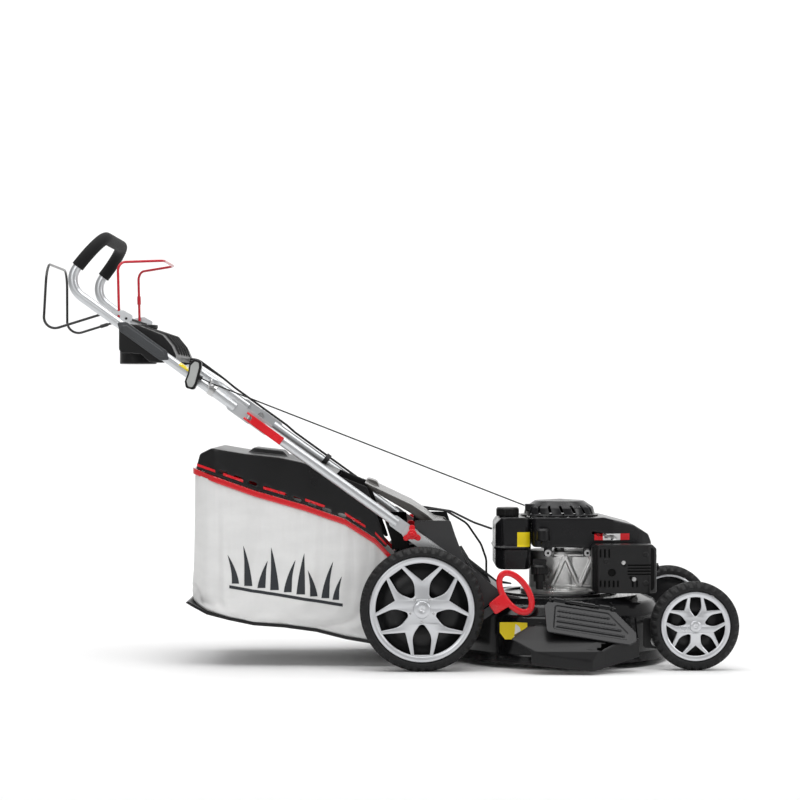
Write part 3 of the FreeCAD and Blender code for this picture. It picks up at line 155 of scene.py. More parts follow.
FLOOR = material("floor_white", (0.9, 0.9, 0.9), 0.6, bump=0.0, vary=0.005, shine=0.2)
DECK = material("deck_gloss_black", (0.004, 0.004, 0.0045), 0.14, grain=700, bump=0.02, wear=0.06,
                shine=0.42)
SATIN = material("satin_black_metal", (0.006, 0.006, 0.0065), 0.3, grain=700, bump=0.05, wear=0.1,
                 shine=0.3)
PLASTIC = material("moulded_black", (0.0065, 0.0065, 0.007), 0.34, grain=1100, bump=0.1, depth=0.0002,
                   shine=0.28)
ENGINE = material("engine_black", (0.0055, 0.0055, 0.0065), 0.26, grain=1200, bump=0.05, depth=0.0002,
                  shine=0.34)
GUARD = material("guard_black", (0.007, 0.007, 0.0075), 0.36, grain=1200, bump=0.14, depth=0.0002,
                 shine=0.35)
SILVER = material("silver_paint", (0.6, 0.615, 0.63), 0.34, metal=0.85, grain=500, bump=0.01, vary=0.03,
                  rough_vary=0.02)
RIM = material("silver_plastic", (0.6, 0.61, 0.63), 0.3, metal=0.7, grain=900, bump=0.02, vary=0.05)
RUBBER = material("tyre_rubber", (0.009, 0.009, 0.0095), 0.55, grain=900, bump=0.35, depth=0.0004,
                  shine=0.25)
FOAM = material("foam", (0.008, 0.008, 0.0085), 0.85, grain=900, bump=0.6, depth=0.0006, sheen=0.05,
                shine=0.2)
RED = material("red_plastic", (0.66, 0.006, 0.014), 0.26, coat=0.25, grain=1100, bump=0.04, vary=0.05,
               shine=0.35)
BAND = material("red_gloss_band", (0.62, 0.004, 0.01), 0.08, coat=0.8, grain=900, bump=0.02, vary=0.05)
RED_ROD = material("red_rod", (0.5, 0.006, 0.02), 0.24, coat=0.3, grain=900, bump=0.03, vary=0.05,
                   shine=0.35)
BLACK_ROD = material("black_rod", (0.007, 0.007, 0.0075), 0.24, coat=0.2, grain=900, bump=0.03, shine=0.4)
CAST = material("cast_alloy", (0.72, 0.72, 0.71), 0.3, metal=0.8, vary=0.3, grain=260, bump=0.45,
                depth=0.0006, rough_vary=0.14)
STEEL = material("zinc_steel", (0.5, 0.5, 0.5), 0.24, metal=1.0, grain=500, bump=0.05, stretch=(1, 6, 1))
GREY = material("grey_plastic", (0.045, 0.048, 0.052), 0.36, grain=1100, bump=0.08, shine=0.4)
GRIP_GREY = material("grip_grey", (0.42, 0.43, 0.42), 0.42, grain=1100, bump=0.1, shine=0.3)
LID = material("lid_black", (0.006, 0.006, 0.0065), 0.3, grain=900, bump=0.1, depth=0.0002, shine=0.32)
DOOR = material("door_plastic", (0.05, 0.046, 0.042), 0.26, grain=900, bump=0.08, shine=0.55)
CABLE = material("cable_sheath", (0.008, 0.008, 0.0085), 0.4, grain=900, bump=0.06, shine=0.3)
BRACKET = material("bracket_silver", (0.66, 0.67, 0.68), 0.28, metal=0.8, grain=500, bump=0.02, vary=0.03)
CLOTH = material("bag_cloth", (0.74, 0.74, 0.735), 0.85, grain=1500, bump=0.35, depth=0.0005,
                 vary=0.04, sheen=0.1, stretch=(1, 1, 2.2), shine=0.15)
MARK = material("mark_ink", (0.035, 0.038, 0.043), 0.6, vary=0.05, bump=0.05, shine=0.2)
YELLOW = material("yellow_patch", (0.85, 0.66, 0.01), 0.35, vary=0.03, bump=0.02, shine=0.3)
WHITE = material("white_patch", (0.75, 0.75, 0.75), 0.35, vary=0.02, bump=0.02, shine=0.3)
# Flat black with little gloss: painted shade on the plates behind the guard, chute and duct openings, and the
# black centres of the shroud washers' screws.
DARK = material("deep_black", (0.004, 0.004, 0.004), 0.7, bump=0.05, shine=0.15)

FINISH = {
    "deck_shell": DECK, "rear_tunnel": PLASTIC, "side_frames": SATIN, "handle_brackets": BRACKET,
    "front_brackets": SATIN, "front_axle": STEEL, "rear_axle": STEEL, "gearbox": CAST, "height_lever": SATIN,
    "height_grip": RED, "crankcase": CAST, "cylinder": CAST, "blower_shroud": ENGINE, "recoil_cover": ENGINE,
    "crankshaft": STEEL, "fuel_tank": ENGINE, "fuel_cap": PLASTIC, "muffler": GUARD, "muffler_guard": GUARD,
    "oil_filler": PLASTIC, "oil_cap": PLASTIC, "post_cap": PLASTIC, "air_filter": PLASTIC,
    "spark_plug": PLASTIC,
    "blade": SATIN, "lower_tubes": SILVER, "upper_handle": SILVER, "foam_grip": FOAM, "fold_bolts": STEEL,
    "cam_lever_right": RED, "cam_lever_left": RED, "wing_knob_right": RED, "wing_knob_left": RED,
    "side_covers": GREY, "console": PLASTIC, "brake_bail": RED_ROD, "drive_bail": BLACK_ROD,
    "cables_upper": CABLE, "cables_fold": CABLE, "cables_lower": CABLE, "cables_pivot": CABLE,
    "cables_chassis": CABLE, "rope_guide": STEEL, "starter_grip": PLASTIC, "starter_rope": CABLE,
    "bag_lid": LID, "bag_band": BAND, "bag_base": LID, "rear_door": DOOR, "side_flap": ENGINE,
    "deflector": PLASTIC,
}
for name, finish in FINISH.items():
    for entry in NODES[name].material_slots:
        entry.material = finish


# ---------------------------------------------------------------- mesh helpers


def new_piece(name, mesh_data, finish, body, stands_for=()):
    """Put a finished mesh in the scene as a piece that rides on a CAD body."""
    piece = bpy.data.objects.new(name, mesh_data)
    bpy.context.scene.collection.objects.link(piece)
    if finish is not None:
        mesh_data.materials.append(finish)
    if body is not None:
        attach(piece, body)
    if stands_for:
        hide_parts(*stands_for)
    return piece


def from_bmesh(work, name, smooth=True):
    """Turn finished bmesh work into a mesh with its faces turned outwards."""
    made = bpy.data.meshes.new(name)
    bmesh.ops.recalc_face_normals(work, faces=work.faces)
    work.to_mesh(made)
    work.free()
    made.polygons.foreach_set("use_smooth", [smooth] * len(made.polygons))
    return made


def lathe(name, profile, centre, axis, steps=96, angle_shape=None):
    """Surface of revolution of a closed (radius, height) profile about an axis through a point.

    angle_shape(radius, height, angle) may move each ring point before it is turned."""
    work = bmesh.new()
    rings = []
    turn = Vector((0, 0, 1)).rotation_difference(Vector(axis)).to_matrix()
    for k in range(steps):
        angle = 2 * math.pi * k / steps
        ring = []
        for radius, height in profile:
            if angle_shape:
                radius, height = angle_shape(radius, height, angle)
            local = Vector((radius * math.cos(angle), radius * math.sin(angle), height))
            ring.append(work.verts.new(Vector(centre) + turn @ local * MM))
        rings.append(ring)
    count = len(profile)
    for k in range(steps):
        here, following = rings[k], rings[(k + 1) % steps]
        for i in range(count):
            j = (i + 1) % count
            work.faces.new((here[i], here[j], following[j], following[i]))
    return from_bmesh(work, name)


def sharpen(piece, degrees=35):
    """Smooth shading that keeps hard edges."""
    made = piece.data
    work = bmesh.new()
    work.from_mesh(made)
    limit = math.radians(degrees)
    for edge in work.edges:
        edge.smooth = not (edge.is_manifold and edge.calc_face_angle(0) > limit)
    work.to_mesh(made)
    work.free()


def moulded(name, voxel, rounds):
    """Give a CAD node soft moulded edges: remesh finely, then relax."""
    piece = NODES[name]
    remesh = piece.modifiers.new("remesh", "REMESH")
    remesh.mode = "VOXEL"
    remesh.voxel_size = voxel * MM
    remesh.use_smooth_shade = True
    relax = piece.modifiers.new("relax", "SMOOTH")
    relax.factor = 0.5
    relax.iterations = rounds


# ---------------------------------------------------------------- wheels

WHEELS = {
    "rear": {"radius": 140, "axle": (74.4, 140), "face": 285, "first": -90, "screws": 5},
    "front": {"radius": 100, "axle": (692, 100), "face": 262, "first": 90, "screws": 0},
}
WHEEL_WIDTH = 45
RIM_DROP = 22


def tyre_mesh(name, radius, centre, axis):
    """Tyre with two rows of shoulder lugs and a centre groove; centre is on the outer face plane."""
    inner = radius - 21
    width = WHEEL_WIDTH
    outer_half = [(inner, -5), (inner + 3, -1.6), (radius - 12, -0.4), (radius - 6.5, -2.2),
                  (radius - 3.2, -5),
                  (radius - 0.8, -10), (radius, -14), (radius, -19), (radius - 2.4, -20.4)]
    inner_half = [(radius - 2.4, -24.6), (radius, -26), (radius, -31), (radius - 0.8, -35),
                  (radius - 3.2, -40),
                  (radius - 6.5, -42.8), (radius - 12, -44.6), (inner + 3, -43.4), (inner, -40)]
    lugs = 46 if radius > 120 else 34

    def tread(r, height, angle):
        shoulder = min(1.0, max(0.0, (abs(height + width / 2) - 9) / 3))
        if r < radius - 11 or shoulder == 0:
            return r, height
        shift = 0 if height > -width / 2 else math.pi / lugs
        wave = math.sin((angle + shift) * lugs + (height + width / 2) * 0.05)
        drop = 0.5 + 0.5 * max(-1.0, min(1.0, wave * 3.2))
        return r - 2.6 * shoulder * drop, height + (1.2 if height > -width / 2 else -1.2) * -drop * shoulder

    return lathe(name, outer_half + inner_half, centre, axis, steps=lugs * 10, angle_shape=tread)


def outline(points, radius):
    """Closed 2-D outline with rounded corners; a point may carry its own radius."""
    result = []
    count = len(points)
    for k in range(count):
        here = Vector(points[k][:2])
        back = Vector(points[k - 1][:2]) - here
        ahead = Vector(points[(k + 1) % count][:2]) - here
        bend = points[k][2] if len(points[k]) > 2 else radius
        half = back.angle(ahead) / 2
        reach = min(bend / math.tan(half), 0.48 * min(back.length, ahead.length))
        first = here + back.normalized() * reach
        last = here + ahead.normalized() * reach
        for step in range(7):
            share = step / 6
            result.append(first * (1 - share) ** 2 + here * 2 * share * (1 - share) + last * share ** 2)
    return result


def pressed(name, outer, holes, thickness, bevel, depth_at, place):
    """A flat plate with holes and rounded edges, then dished by depth_at(x, y) and placed by a matrix."""
    curve = bpy.data.curves.new(name, "CURVE")
    curve.dimensions = "2D"
    curve.fill_mode = "BOTH"
    curve.extrude = thickness / 2 - bevel
    curve.bevel_depth = bevel
    curve.bevel_resolution = 2
    for loop in [outer] + holes:
        spline = curve.splines.new("POLY")
        spline.points.add(len(loop) - 1)
        for point, spot in zip(spline.points, loop):
            point.co = (spot[0], spot[1], 0, 1)
        spline.use_cyclic_u = True
    holder = bpy.data.objects.new(name, curve)
    bpy.context.scene.collection.objects.link(holder)
    bpy.context.view_layer.update()
    made = bpy.data.meshes.new_from_object(holder.evaluated_get(bpy.context.evaluated_depsgraph_get()))
    bpy.data.objects.remove(holder)
    work = bmesh.new()
    work.from_mesh(made)
    bmesh.ops.remove_doubles(work, verts=work.verts, dist=0.01)
    for vert in work.verts:
        vert.co.z += depth_at(vert.co.x, vert.co.y)
        vert.co = place @ (vert.co * MM)
    bmesh.ops.recalc_face_normals(work, faces=work.faces)
    work.to_mesh(made)
    work.free()
    made.name = name
    made.polygons.foreach_set("use_smooth", [True] * len(made.polygons))
    return made


def circle(radius, steps=120):
    turns = [2 * math.pi * k / steps for k in range(steps)]
    return [(radius * math.cos(turn), radius * math.sin(turn)) for turn in turns]


def turned_outline(points, degrees):
    """An (along, across) outline turned to an angle in the wheel's face."""
    c, s = math.cos(math.radians(degrees)), math.sin(math.radians(degrees))
    return [(x * c - y * s, x * s + y * c) for x, y in (tuple(p)[:2] for p in points)]


def spoke_mesh(name, radius, place, first):
    """Five Y-shaped spokes: long petal windows with short wedge windows between them."""
    rim = radius - RIM_DROP
    petal = outline([(0.27 * rim, -0.05 * rim, 0.1 * rim), (0.27 * rim, 0.05 * rim, 0.1 * rim),
                     (0.5 * rim, 0.205 * rim, 0.35 * rim), (0.88 * rim, 0.165 * rim, 0.02 * rim),
                     (0.88 * rim, -0.165 * rim, 0.02 * rim), (0.5 * rim, -0.205 * rim, 0.35 * rim)],
                    0.1 * rim)
    half = math.radians(24.0)
    arc = [(0.905 * rim * math.cos(a), 0.905 * rim * math.sin(a)) for a in np.linspace(half, -half, 13)]
    wedge = [(0.53 * rim, -0.012 * rim), (0.53 * rim, 0.012 * rim)] + arc
    petals = [turned_outline(petal, first + 72 * k) for k in range(5)]
    wedges = [turned_outline(wedge, first + 36 + 72 * k) for k in range(5)]

    def dish(x, y):
        share = math.hypot(x, y) / rim
        return 4.0 * (1 - share) ** 2 - 3.2 * math.sin(math.pi * min(1.0, share)) ** 2

    return pressed(name, circle(0.93 * rim), petals + wedges, 9, 2.2, dish, place)


def ring_profile(rim):
    """Rolled outer flange of the rim and its barrel."""
    return [(rim - 11.5, -3.6), (rim - 10.2, -2.4), (rim - 3, -1.2), (rim - 0.6, -2.2), (rim + 0.6, -5),
            (rim + 0.6, -40), (rim - 2, -41), (rim - 4, -40), (rim - 5, -12), (rim - 10, -9),
            (rim - 11.5, -7)]


def cap_profile(cap):
    """Low dome of the hub cap."""
    return [(0.01, -1.6), (cap * 0.55, -1.8), (cap * 0.85, -2.6), (cap, -4.2), (cap, -40), (0.01, -40)]


def build_wheel(label, spec, side):
    """Tread, rim ring, spokes, dark web and hub cap of one wheel, with the rear hub's five screws."""
    radius, first = spec["radius"], spec["first"]
    rim = radius - RIM_DROP
    body = "wheel_" + label
    x, z = spec["axle"]
    centre = at(x, side * spec["face"], z)
    axis = Vector((0, side, 0))
    sideways = Vector((1, 0, 0)) * -side
    upward = Vector((0, 0, 1))
    place = Matrix.Translation(centre) @ Matrix((sideways, upward, axis)).transposed().to_4x4()
    tread = tyre_mesh("tread_" + label, radius, centre, axis)
    sharpen(new_piece("tread_" + label, tread, RUBBER, body, ["tyre_" + label]), 40)
    ring = lathe("ring_" + label, ring_profile(rim), centre, axis)
    sharpen(new_piece("ring_" + label, ring, RIM, body))
    sunk = Matrix.Translation(axis * -8.5 * MM)
    spokes = spoke_mesh("spokes_" + label, radius, sunk @ place, first)
    sharpen(new_piece("spokes_" + label, spokes, RIM, body, ["rim_" + label]), 50)
    web_profile = [(8, -25), (rim - 6, -25), (rim - 6, -28), (8, -28)]
    web = lathe("web_" + label, web_profile, centre, axis, 64)
    new_piece("web_" + label, web, PLASTIC, body)
    cap = lathe("cap_" + label, cap_profile(0.17 * rim), centre, axis, 48)
    new_piece("cap_" + label, cap, RIM, body)
    for k in range(spec["screws"]):
        angle = math.radians(first + 72 * k)
        out = sideways * math.cos(angle) + upward * math.sin(angle)
        screw = lathe("screw", SCREW, centre + out * (0.235 * rim * MM) - axis * 3 * MM, axis, 20)
        new_piece("screw_%s_%d" % (label, k), screw, STEEL, body)


SCREW = [(0.01, 0.6), (1.6, 0.6), (2.6, 0.0), (2.6, -4), (0.01, -4)]
for end, spec in WHEELS.items():
    for word, side in {"right": -1, "left": 1}.items():
        build_wheel(end + "_" + word, spec, side)

# ---------------------------------------------------------------- moulded CAD pieces

# node: (voxel in mm, relaxing rounds)

SOFT_EDGES = {
    "bag_lid": (2.2, 14), "bag_band": (1.2, 4), "rear_door": (1.8, 12), "console": (1.6, 8),
    "side_covers": (1.2, 6),
    "blower_shroud": (1.5, 12), "recoil_cover": (1.1, 4), "fuel_tank": (1.6, 14), "fuel_cap": (0.9, 5),
    "muffler_guard": (0.8, 6), "oil_cap": (0.8, 5), "post_cap": (0.8, 6), "starter_grip": (0.9, 8),
    "cam_lever_right": (0.8, 8), "cam_lever_left": (0.8, 8), "wing_knob_right": (0.7, 6),
    "wing_knob_left": (0.7, 6),
    "side_flap": (1.2, 6), "deflector": (1.3, 6), "air_filter": (1.5, 8), "rear_tunnel": (2.0, 5),
    "crankcase": (1.3, 5),
}
for name, (voxel, rounds) in SOFT_EDGES.items():
    moulded(name, voxel, rounds)

# ---------------------------------------------------------------- height lever's oval grip

LEVER_PIVOT = Vector((166, -232, 89))
LEVER_RISE = math.atan2(69, 98)


def lever_place(centre=(0.0, 0.0)):
    """Matrix of a face lying in the near side, its first axis along the lever."""
    along = Vector((math.cos(LEVER_RISE), 0, math.sin(LEVER_RISE)))
    across = Vector((-along.z, 0, along.x))
    spot = LEVER_PIVOT + along * centre[0] + across * centre[1]
    turn = Matrix((along, across, along.cross(across))).transposed().to_4x4()
    return Matrix.Translation(at(*spot)) @ turn


def ring_mesh(name, half_along, half_across, band, depth, place, steps=96, corners=16):
    """Oval ring with a rounded band."""
    work = bmesh.new()
    rings = []
    for k in range(steps):
        angle = 2 * math.pi * k / steps
        middle = Vector((half_along * math.cos(angle), half_across * math.sin(angle), 0))
        out = Vector((math.cos(angle) / half_along, math.sin(angle) / half_across, 0)).normalized()
        ring = []
        for n in range(corners):
            turn = 2 * math.pi * n / corners
            wide = math.copysign(abs(math.cos(turn)) ** 0.6, math.cos(turn)) * band / 2
            deep = math.copysign(abs(math.sin(turn)) ** 0.6, math.sin(turn)) * depth / 2
            ring.append(work.verts.new(place @ ((middle + out * wide + Vector((0, 0, deep))) * MM)))
        rings.append(ring)
    for here, after in zip(rings, rings[1:] + rings[:1]):
        for n in range(corners):
            work.faces.new((here[n], here[(n + 1) % corners], after[(n + 1) % corners], after[n]))
    return from_bmesh(work, name)


def flat(x, y):
    """No dishing."""
    return 0.0


GRIP_DEPTH = 12
oval = ring_mesh("grip_ring", 27, 51, 14, GRIP_DEPTH, lever_place((148, 0)))
new_piece("grip_ring", oval, RED, "rear_carrier", ["height_grip"])
stub_line = outline([(84, -12.5, 4), (84, 12.5, 4), (121, 15, 3), (121, -15, 3)], 4)
stub = pressed("grip_stub", stub_line, [], GRIP_DEPTH, 2.0, flat, lever_place())
new_piece("grip_stub", stub, RED, "rear_carrier", ["height_grip"])
hub_profile = [(0.1, 0), (4.5, 0), (4.5, 1.4), (3.4, 2.4), (0.1, 2.4)]
hub_spot = lever_place((108, 0)) @ Vector((0, 0, -GRIP_DEPTH / 2 * MM))
hub = lathe("grip_hub", hub_profile, hub_spot, (0, -1, 0), 32)
new_piece("grip_hub", hub, STEEL, "rear_carrier")

# ---------------------------------------------------------------- bag: cloth walls hung between band and base

BAND_LINE = [(-458, 457), (-444, 452), (-305, 403), (-193, 371), (-101, 339), (-32, 295), (5, 256), (16, 240)]
BASE_LINE = [(-451, 141), (-418, 123), (-368, 110), (-310, 98), (-240, 93), (-166, 83), (-98, 66),
             (-45, 57), (18, 50)]
BAG_HALF = 183.0
BAG_BACK = -449.0
BAG_FRONT = 15.0
BAG_CORNER = 72.0
BAND_DEPTH = 14.0
BAND_LAP = 2.0
BASE_LAP = 5.0
SIDE_LEAN = 2.5
FRONT_MARGIN = 4
MOUTH_HALF = 150
MOUTH_LOW = 118
MOUTH_HIGH = 300
CLOTH_FRAMES = 26
CLOTH_CAP = 9.0
CLOTH_THICK = 0.9


def height_on(line, x):
    """Height in millimetres of an (x, z) line at x."""
    return float(np.interp(x, [point[0] for point in line], [point[1] for point in line]))


def bag_path(step):
    """Plan points once round the bag from the right front corner, evenly spaced."""
    corners = [(BAG_FRONT, -BAG_HALF, 6), (BAG_BACK, -BAG_HALF, BAG_CORNER), (BAG_BACK, BAG_HALF, BAG_CORNER),
               (BAG_FRONT, BAG_HALF, 6)]
    dense = outline(corners, 6)
    loop = [Vector(point) for point in dense] + [Vector(dense[0])]
    total = sum((b - a).length for a, b in zip(loop, loop[1:]))
    count = int(total / step)
    spots = []
    walked = 0.0
    k = 0
    for n in range(count):
        goal = total * n / count
        while walked + (loop[k + 1] - loop[k]).length < goal:
            walked += (loop[k + 1] - loop[k]).length
            k += 1
        share = (goal - walked) / (loop[k + 1] - loop[k]).length
        spots.append(loop[k].lerp(loop[k + 1], share))
    return spots, total


def bag_walls(step=7.0, rows=46):
    """Open-topped loft of the four walls; the mouth in the front wall is left out."""
    spots, round_length = bag_path(step)
    verts = []
    for row in range(rows + 1):
        share = row / rows
        for spot in spots:
            top = height_on(BAND_LINE, spot.x) - BAND_DEPTH + BAND_LAP
            low = height_on(BASE_LINE, spot.x) + BASE_LAP
            full = math.sin(math.pi * share)
            lean = SIDE_LEAN * full if abs(spot.y) > BAG_HALF - 1 or spot.x < BAG_BACK + 1 else 0.0
            away = Vector((spot.x + 200, spot.y, 0)).normalized() if lean else Vector()
            verts.append(at(spot.x + away.x * lean, spot.y + away.y * lean, low + (top - low) * share))
    count = len(spots)
    faces = []
    for row in range(rows):
        for k in range(count):
            after = (k + 1) % count
            middle = (verts[row * count + k] + verts[(row + 1) * count + after]) / 2
            in_front = middle.x > (BAG_FRONT - FRONT_MARGIN) * MM
            in_width = abs(middle.y - MID * MM) < MOUTH_HALF * MM
            if in_front and in_width and MOUTH_LOW * MM < middle.z < MOUTH_HIGH * MM:
                continue
            lower, upper = row * count, (row + 1) * count
            faces.append((lower + k, lower + after, upper + after, upper + k))
    made = bpy.data.meshes.new("bag_cloth")
    made.from_pydata(verts, [], faces)
    pinned = list(range(count)) + list(range(rows * count, (rows + 1) * count))
    return made, pinned, round_length


def hang_cloth(piece, pinned, frames, cap):
    """Let the cloth settle under its weight and a little air pressure, and keep each point near its start."""
    start = [vert.co.copy() for vert in piece.data.vertices]
    held = piece.vertex_groups.new(name="held")
    held.add(pinned, 1.0, "REPLACE")
    front = [vert.index for vert in piece.data.vertices if vert.co.x > (BAG_FRONT - 8) * MM]
    held.add(front, 1.0, "REPLACE")
    cloth = piece.modifiers.new("cloth", "CLOTH")
    settings = cloth.settings
    settings.quality = 6
    settings.mass = 0.15
    settings.tension_stiffness = 25
    settings.compression_stiffness = 12
    settings.shear_stiffness = 8
    settings.bending_stiffness = 0.6
    settings.vertex_group_mass = "held"
    settings.shrink_min = -0.018
    settings.use_pressure = True
    settings.uniform_pressure_force = 0.25
    cloth.collision_settings.use_self_collision = False
    stage = bpy.context.scene
    cloth.point_cache.frame_start = 1
    cloth.point_cache.frame_end = frames
    for frame_number in range(1, frames + 1):
        stage.frame_set(frame_number)
    ready = piece.evaluated_get(bpy.context.evaluated_depsgraph_get())
    settled = [vert.co.copy() for vert in ready.data.vertices]
    piece.modifiers.remove(cloth)
    for vert, first, last in zip(piece.data.vertices, start, settled):
        move = last - first
        if move.length > cap:
            move *= cap / move.length
        vert.co = first + move
    stage.frame_set(1)


cloth_mesh, pinned_points, bag_round = bag_walls()
bag_cloth = new_piece("bag_cloth", cloth_mesh, CLOTH, None)
hang_cloth(bag_cloth, pinned_points, CLOTH_FRAMES, CLOTH_CAP * MM)
bag_cloth.data.polygons.foreach_set("use_smooth", [True] * len(bag_cloth.data.polygons))
thick = bag_cloth.modifiers.new("thickness", "SOLIDIFY")
thick.thickness = CLOTH_THICK * MM
thick.offset = -1
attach(bag_cloth, "grass_bag")
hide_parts("bag_fabric")


def surface_of(pieces, finished=True):
    """A tree of the finished or plain surfaces of some objects, for laying things on them."""
    verts = []
    faces = []
    graph = bpy.context.evaluated_depsgraph_get()
    for piece in pieces:
        ready = piece.evaluated_get(graph)
        data = ready.to_mesh() if finished else piece.data
        base = len(verts)
        verts += [piece.matrix_world @ vert.co for vert in data.vertices]
        faces += [[base + i for i in face.vertices] for face in data.polygons]
        if finished:
            ready.to_mesh_clear()
    return BVHTree.FromPolygons(verts, faces)


def laid_on(name, tree, loops, finish, body, lift=0.35, cell=4.0, sink=12.0):
    """Thin film cut to closed (x, z) outlines and laid on what faces the near side."""
    work = bmesh.new()
    for loop in loops:
        corners = [work.verts.new((x * MM, 0, z * MM)) for x, z in loop]
        work.faces.new(corners)
    bmesh.ops.triangulate(work, faces=work.faces)
    for axis in (0, 2):
        low = min(vert.co[axis] for vert in work.verts)
        high = max(vert.co[axis] for vert in work.verts)
        spot = low + cell * MM
        while spot < high:
            across = Vector((1, 0, 0)) if axis == 0 else Vector((0, 0, 1))
            geometry = work.verts[:] + work.edges[:] + work.faces[:]
            bmesh.ops.bisect_plane(work, geom=geometry, plane_co=across * spot, plane_no=across)
            spot += cell * MM
    for vert in work.verts:
        hit = tree.ray_cast(Vector((vert.co.x, -1.0, vert.co.z)), Vector((0, 1, 0)))
        vert.co.y = hit[0].y if hit[0] else 0.0
    nearest = min(vert.co.y for vert in work.verts)
    for vert in work.verts:
        vert.co.y = min(vert.co.y, nearest + sink * MM) - lift * MM
    for face in work.faces:
        if face.normal.y > 0:
            face.normal_flip()
    back = bmesh.ops.extrude_face_region(work, geom=work.faces[:])
    for item in back["geom"]:
        if isinstance(item, bmesh.types.BMVert):
            item.co.y += (lift + 0.25) * MM
    return new_piece(name, from_bmesh(work, name, smooth=False), finish, body)


def blade_of_grass(x, z, tall, lean, wide):
    """Outline of one curved blade standing at (x, z)."""
    left = []
    right = []
    for step in range(13):
        share = step / 12
        middle = x + lean * share ** 1.7
        half = wide * (1 - share) ** 0.8 / 2
        left.append((middle - half, z + tall * share))
        right.append((middle + half, z + tall * share))
    return left + right[-2::-1]


def ground_line(x):
    """Height of the sloping line that the mark stands on."""
    return 172 - 0.16 * (x + 237)


# Each blade: x, height, lean, width
tuft = [(-352, 66, -18, 17), (-322, 92, -12, 19), (-292, 62, 14, 18), (-262, 98, -8, 20), (-232, 74, 18, 18),
        (-202, 94, 8, 20), (-172, 60, -14, 17), (-146, 84, 18, 18), (-122, 54, 14, 15)]
mark = [blade_of_grass(x, ground_line(x), tall, lean, wide) for x, tall, lean, wide in tuft]
soil = [(x, ground_line(x) - 6) for x in range(-366, -105, 10)]
mark.append(soil + [(x, z - 7) for x, z in soil[::-1]])
laid_on("bag_mark", surface_of([bag_cloth]), mark, MARK, "grass_bag", lift=0.5)

lid_side = surface_of([NODES["bag_lid"]])
DASHES = [(-440, -398), (-380, -334), (-288, -238), (-192, -147), (-101, -54), (-32, -6)]
DASH_RISE = 9
DASH_DEPTH = 6
for k, (x0, x1) in enumerate(DASHES):
    edge = [(x, height_on(BAND_LINE, x) + DASH_RISE) for x in np.linspace(x0, x1, 8)]
    loop = edge + [(x, z + DASH_DEPTH) for x, z in edge[::-1]]
    laid_on("lid_dash_%d" % k, lid_side, [loop], RED, "grass_bag", lift=0.5, sink=2.0)

# ---------------------------------------------------------------- cables and rope over the folds

TUBE_ANGLE = math.radians(35.8)
TUBE_WAY = Vector((-math.cos(TUBE_ANGLE), 0, math.sin(TUBE_ANGLE)))
PIVOT = Vector((52.3, 0, 306))
FOLD = Vector((-319, 0, 572))
FOLD_AT = (FOLD - PIVOT).length


def beside(distance, lift, y):
    """A point along the handle's line from its pivot, lifted square to it."""
    spot = PIVOT + TUBE_WAY * distance + Vector((TUBE_WAY.z, 0, -TUBE_WAY.x)) * lift
    return (spot.x, y, spot.z)


def smooth_line(points, step):
    """Evenly fine points along a route whose corners are rounded off."""
    fine = [Vector(points[0])]
    for k in range(1, len(points) - 1):
        here = Vector(points[k])
        back = Vector(points[k - 1]) - here
        ahead = Vector(points[k + 1]) - here
        reach = min(40.0, 0.45 * min(back.length, ahead.length))
        first = here + back.normalized() * reach
        last = here + ahead.normalized() * reach
        for n in range(9):
            share = n / 8
            fine.append(first * (1 - share) ** 2 + here * 2 * share * (1 - share) + last * share ** 2)
    fine.append(Vector(points[-1]))
    spots = [fine[0]]
    for a, b in zip(fine, fine[1:]):
        parts = max(1, int((b - a).length / step))
        spots += [a.lerp(b, n / parts) for n in range(1, parts + 1)]
    return spots


def hose(name, points, radius, finish, body, step=5.0, sides=12):
    """A round cable or rope along a route given in millimetres."""
    spots = smooth_line(points, step)
    work = bmesh.new()
    rings = []
    side = Vector((0.31, 1, 0.17))
    for k, spot in enumerate(spots):
        way = (spots[min(k + 1, len(spots) - 1)] - spots[max(k - 1, 0)]).normalized()
        side = (side - way * side.dot(way)).normalized()
        other = way.cross(side)
        ring = []
        for n in range(sides):
            angle = 2 * math.pi * n / sides
            out = side * math.cos(angle) + other * math.sin(angle)
            ring.append(work.verts.new(at(*(spot + out * radius))))
        rings.append(ring)
    for here, after in zip(rings, rings[1:]):
        for n in range(sides):
            work.faces.new((here[n], here[(n + 1) % sides], after[(n + 1) % sides], after[n]))
    work.faces.new(rings[0][::-1])
    work.faces.new(rings[-1])
    return new_piece(name, from_bmesh(work, name), finish, body)


FOLD_LIFT = 17.2
ALONG_LIFT = 14.6
PIVOT_REACH = 109.4
CABLE_Y = {"brake": 216.2, "drive": 209.8}
PIVOT_ROUTES = {
    "brake": [beside(PIVOT_REACH, ALONG_LIFT, CABLE_Y["brake"]), (30, 214, 358), (84, 206, 347)],
    "drive": [beside(PIVOT_REACH, ALONG_LIFT, CABLE_Y["drive"]), (30, 205, 352), (78, 194, 343)],
}
FOLD_REACH = 45.5
CABLE_R = 2.6
for word, y in CABLE_Y.items():
    start, end = beside(FOLD_AT - FOLD_REACH, FOLD_LIFT, y), beside(FOLD_AT + FOLD_REACH, FOLD_LIFT, y)
    cable = hose("cable_fold_" + word, [start, end], CABLE_R, CABLE, None, 3.0)
    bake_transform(cable)
    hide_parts("cables_fold")
    route = PIVOT_ROUTES[word]
    cable = hose("cable_pivot_" + word, route, CABLE_R, CABLE, None, 3.0)
    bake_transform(cable)
    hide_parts("cables_pivot")

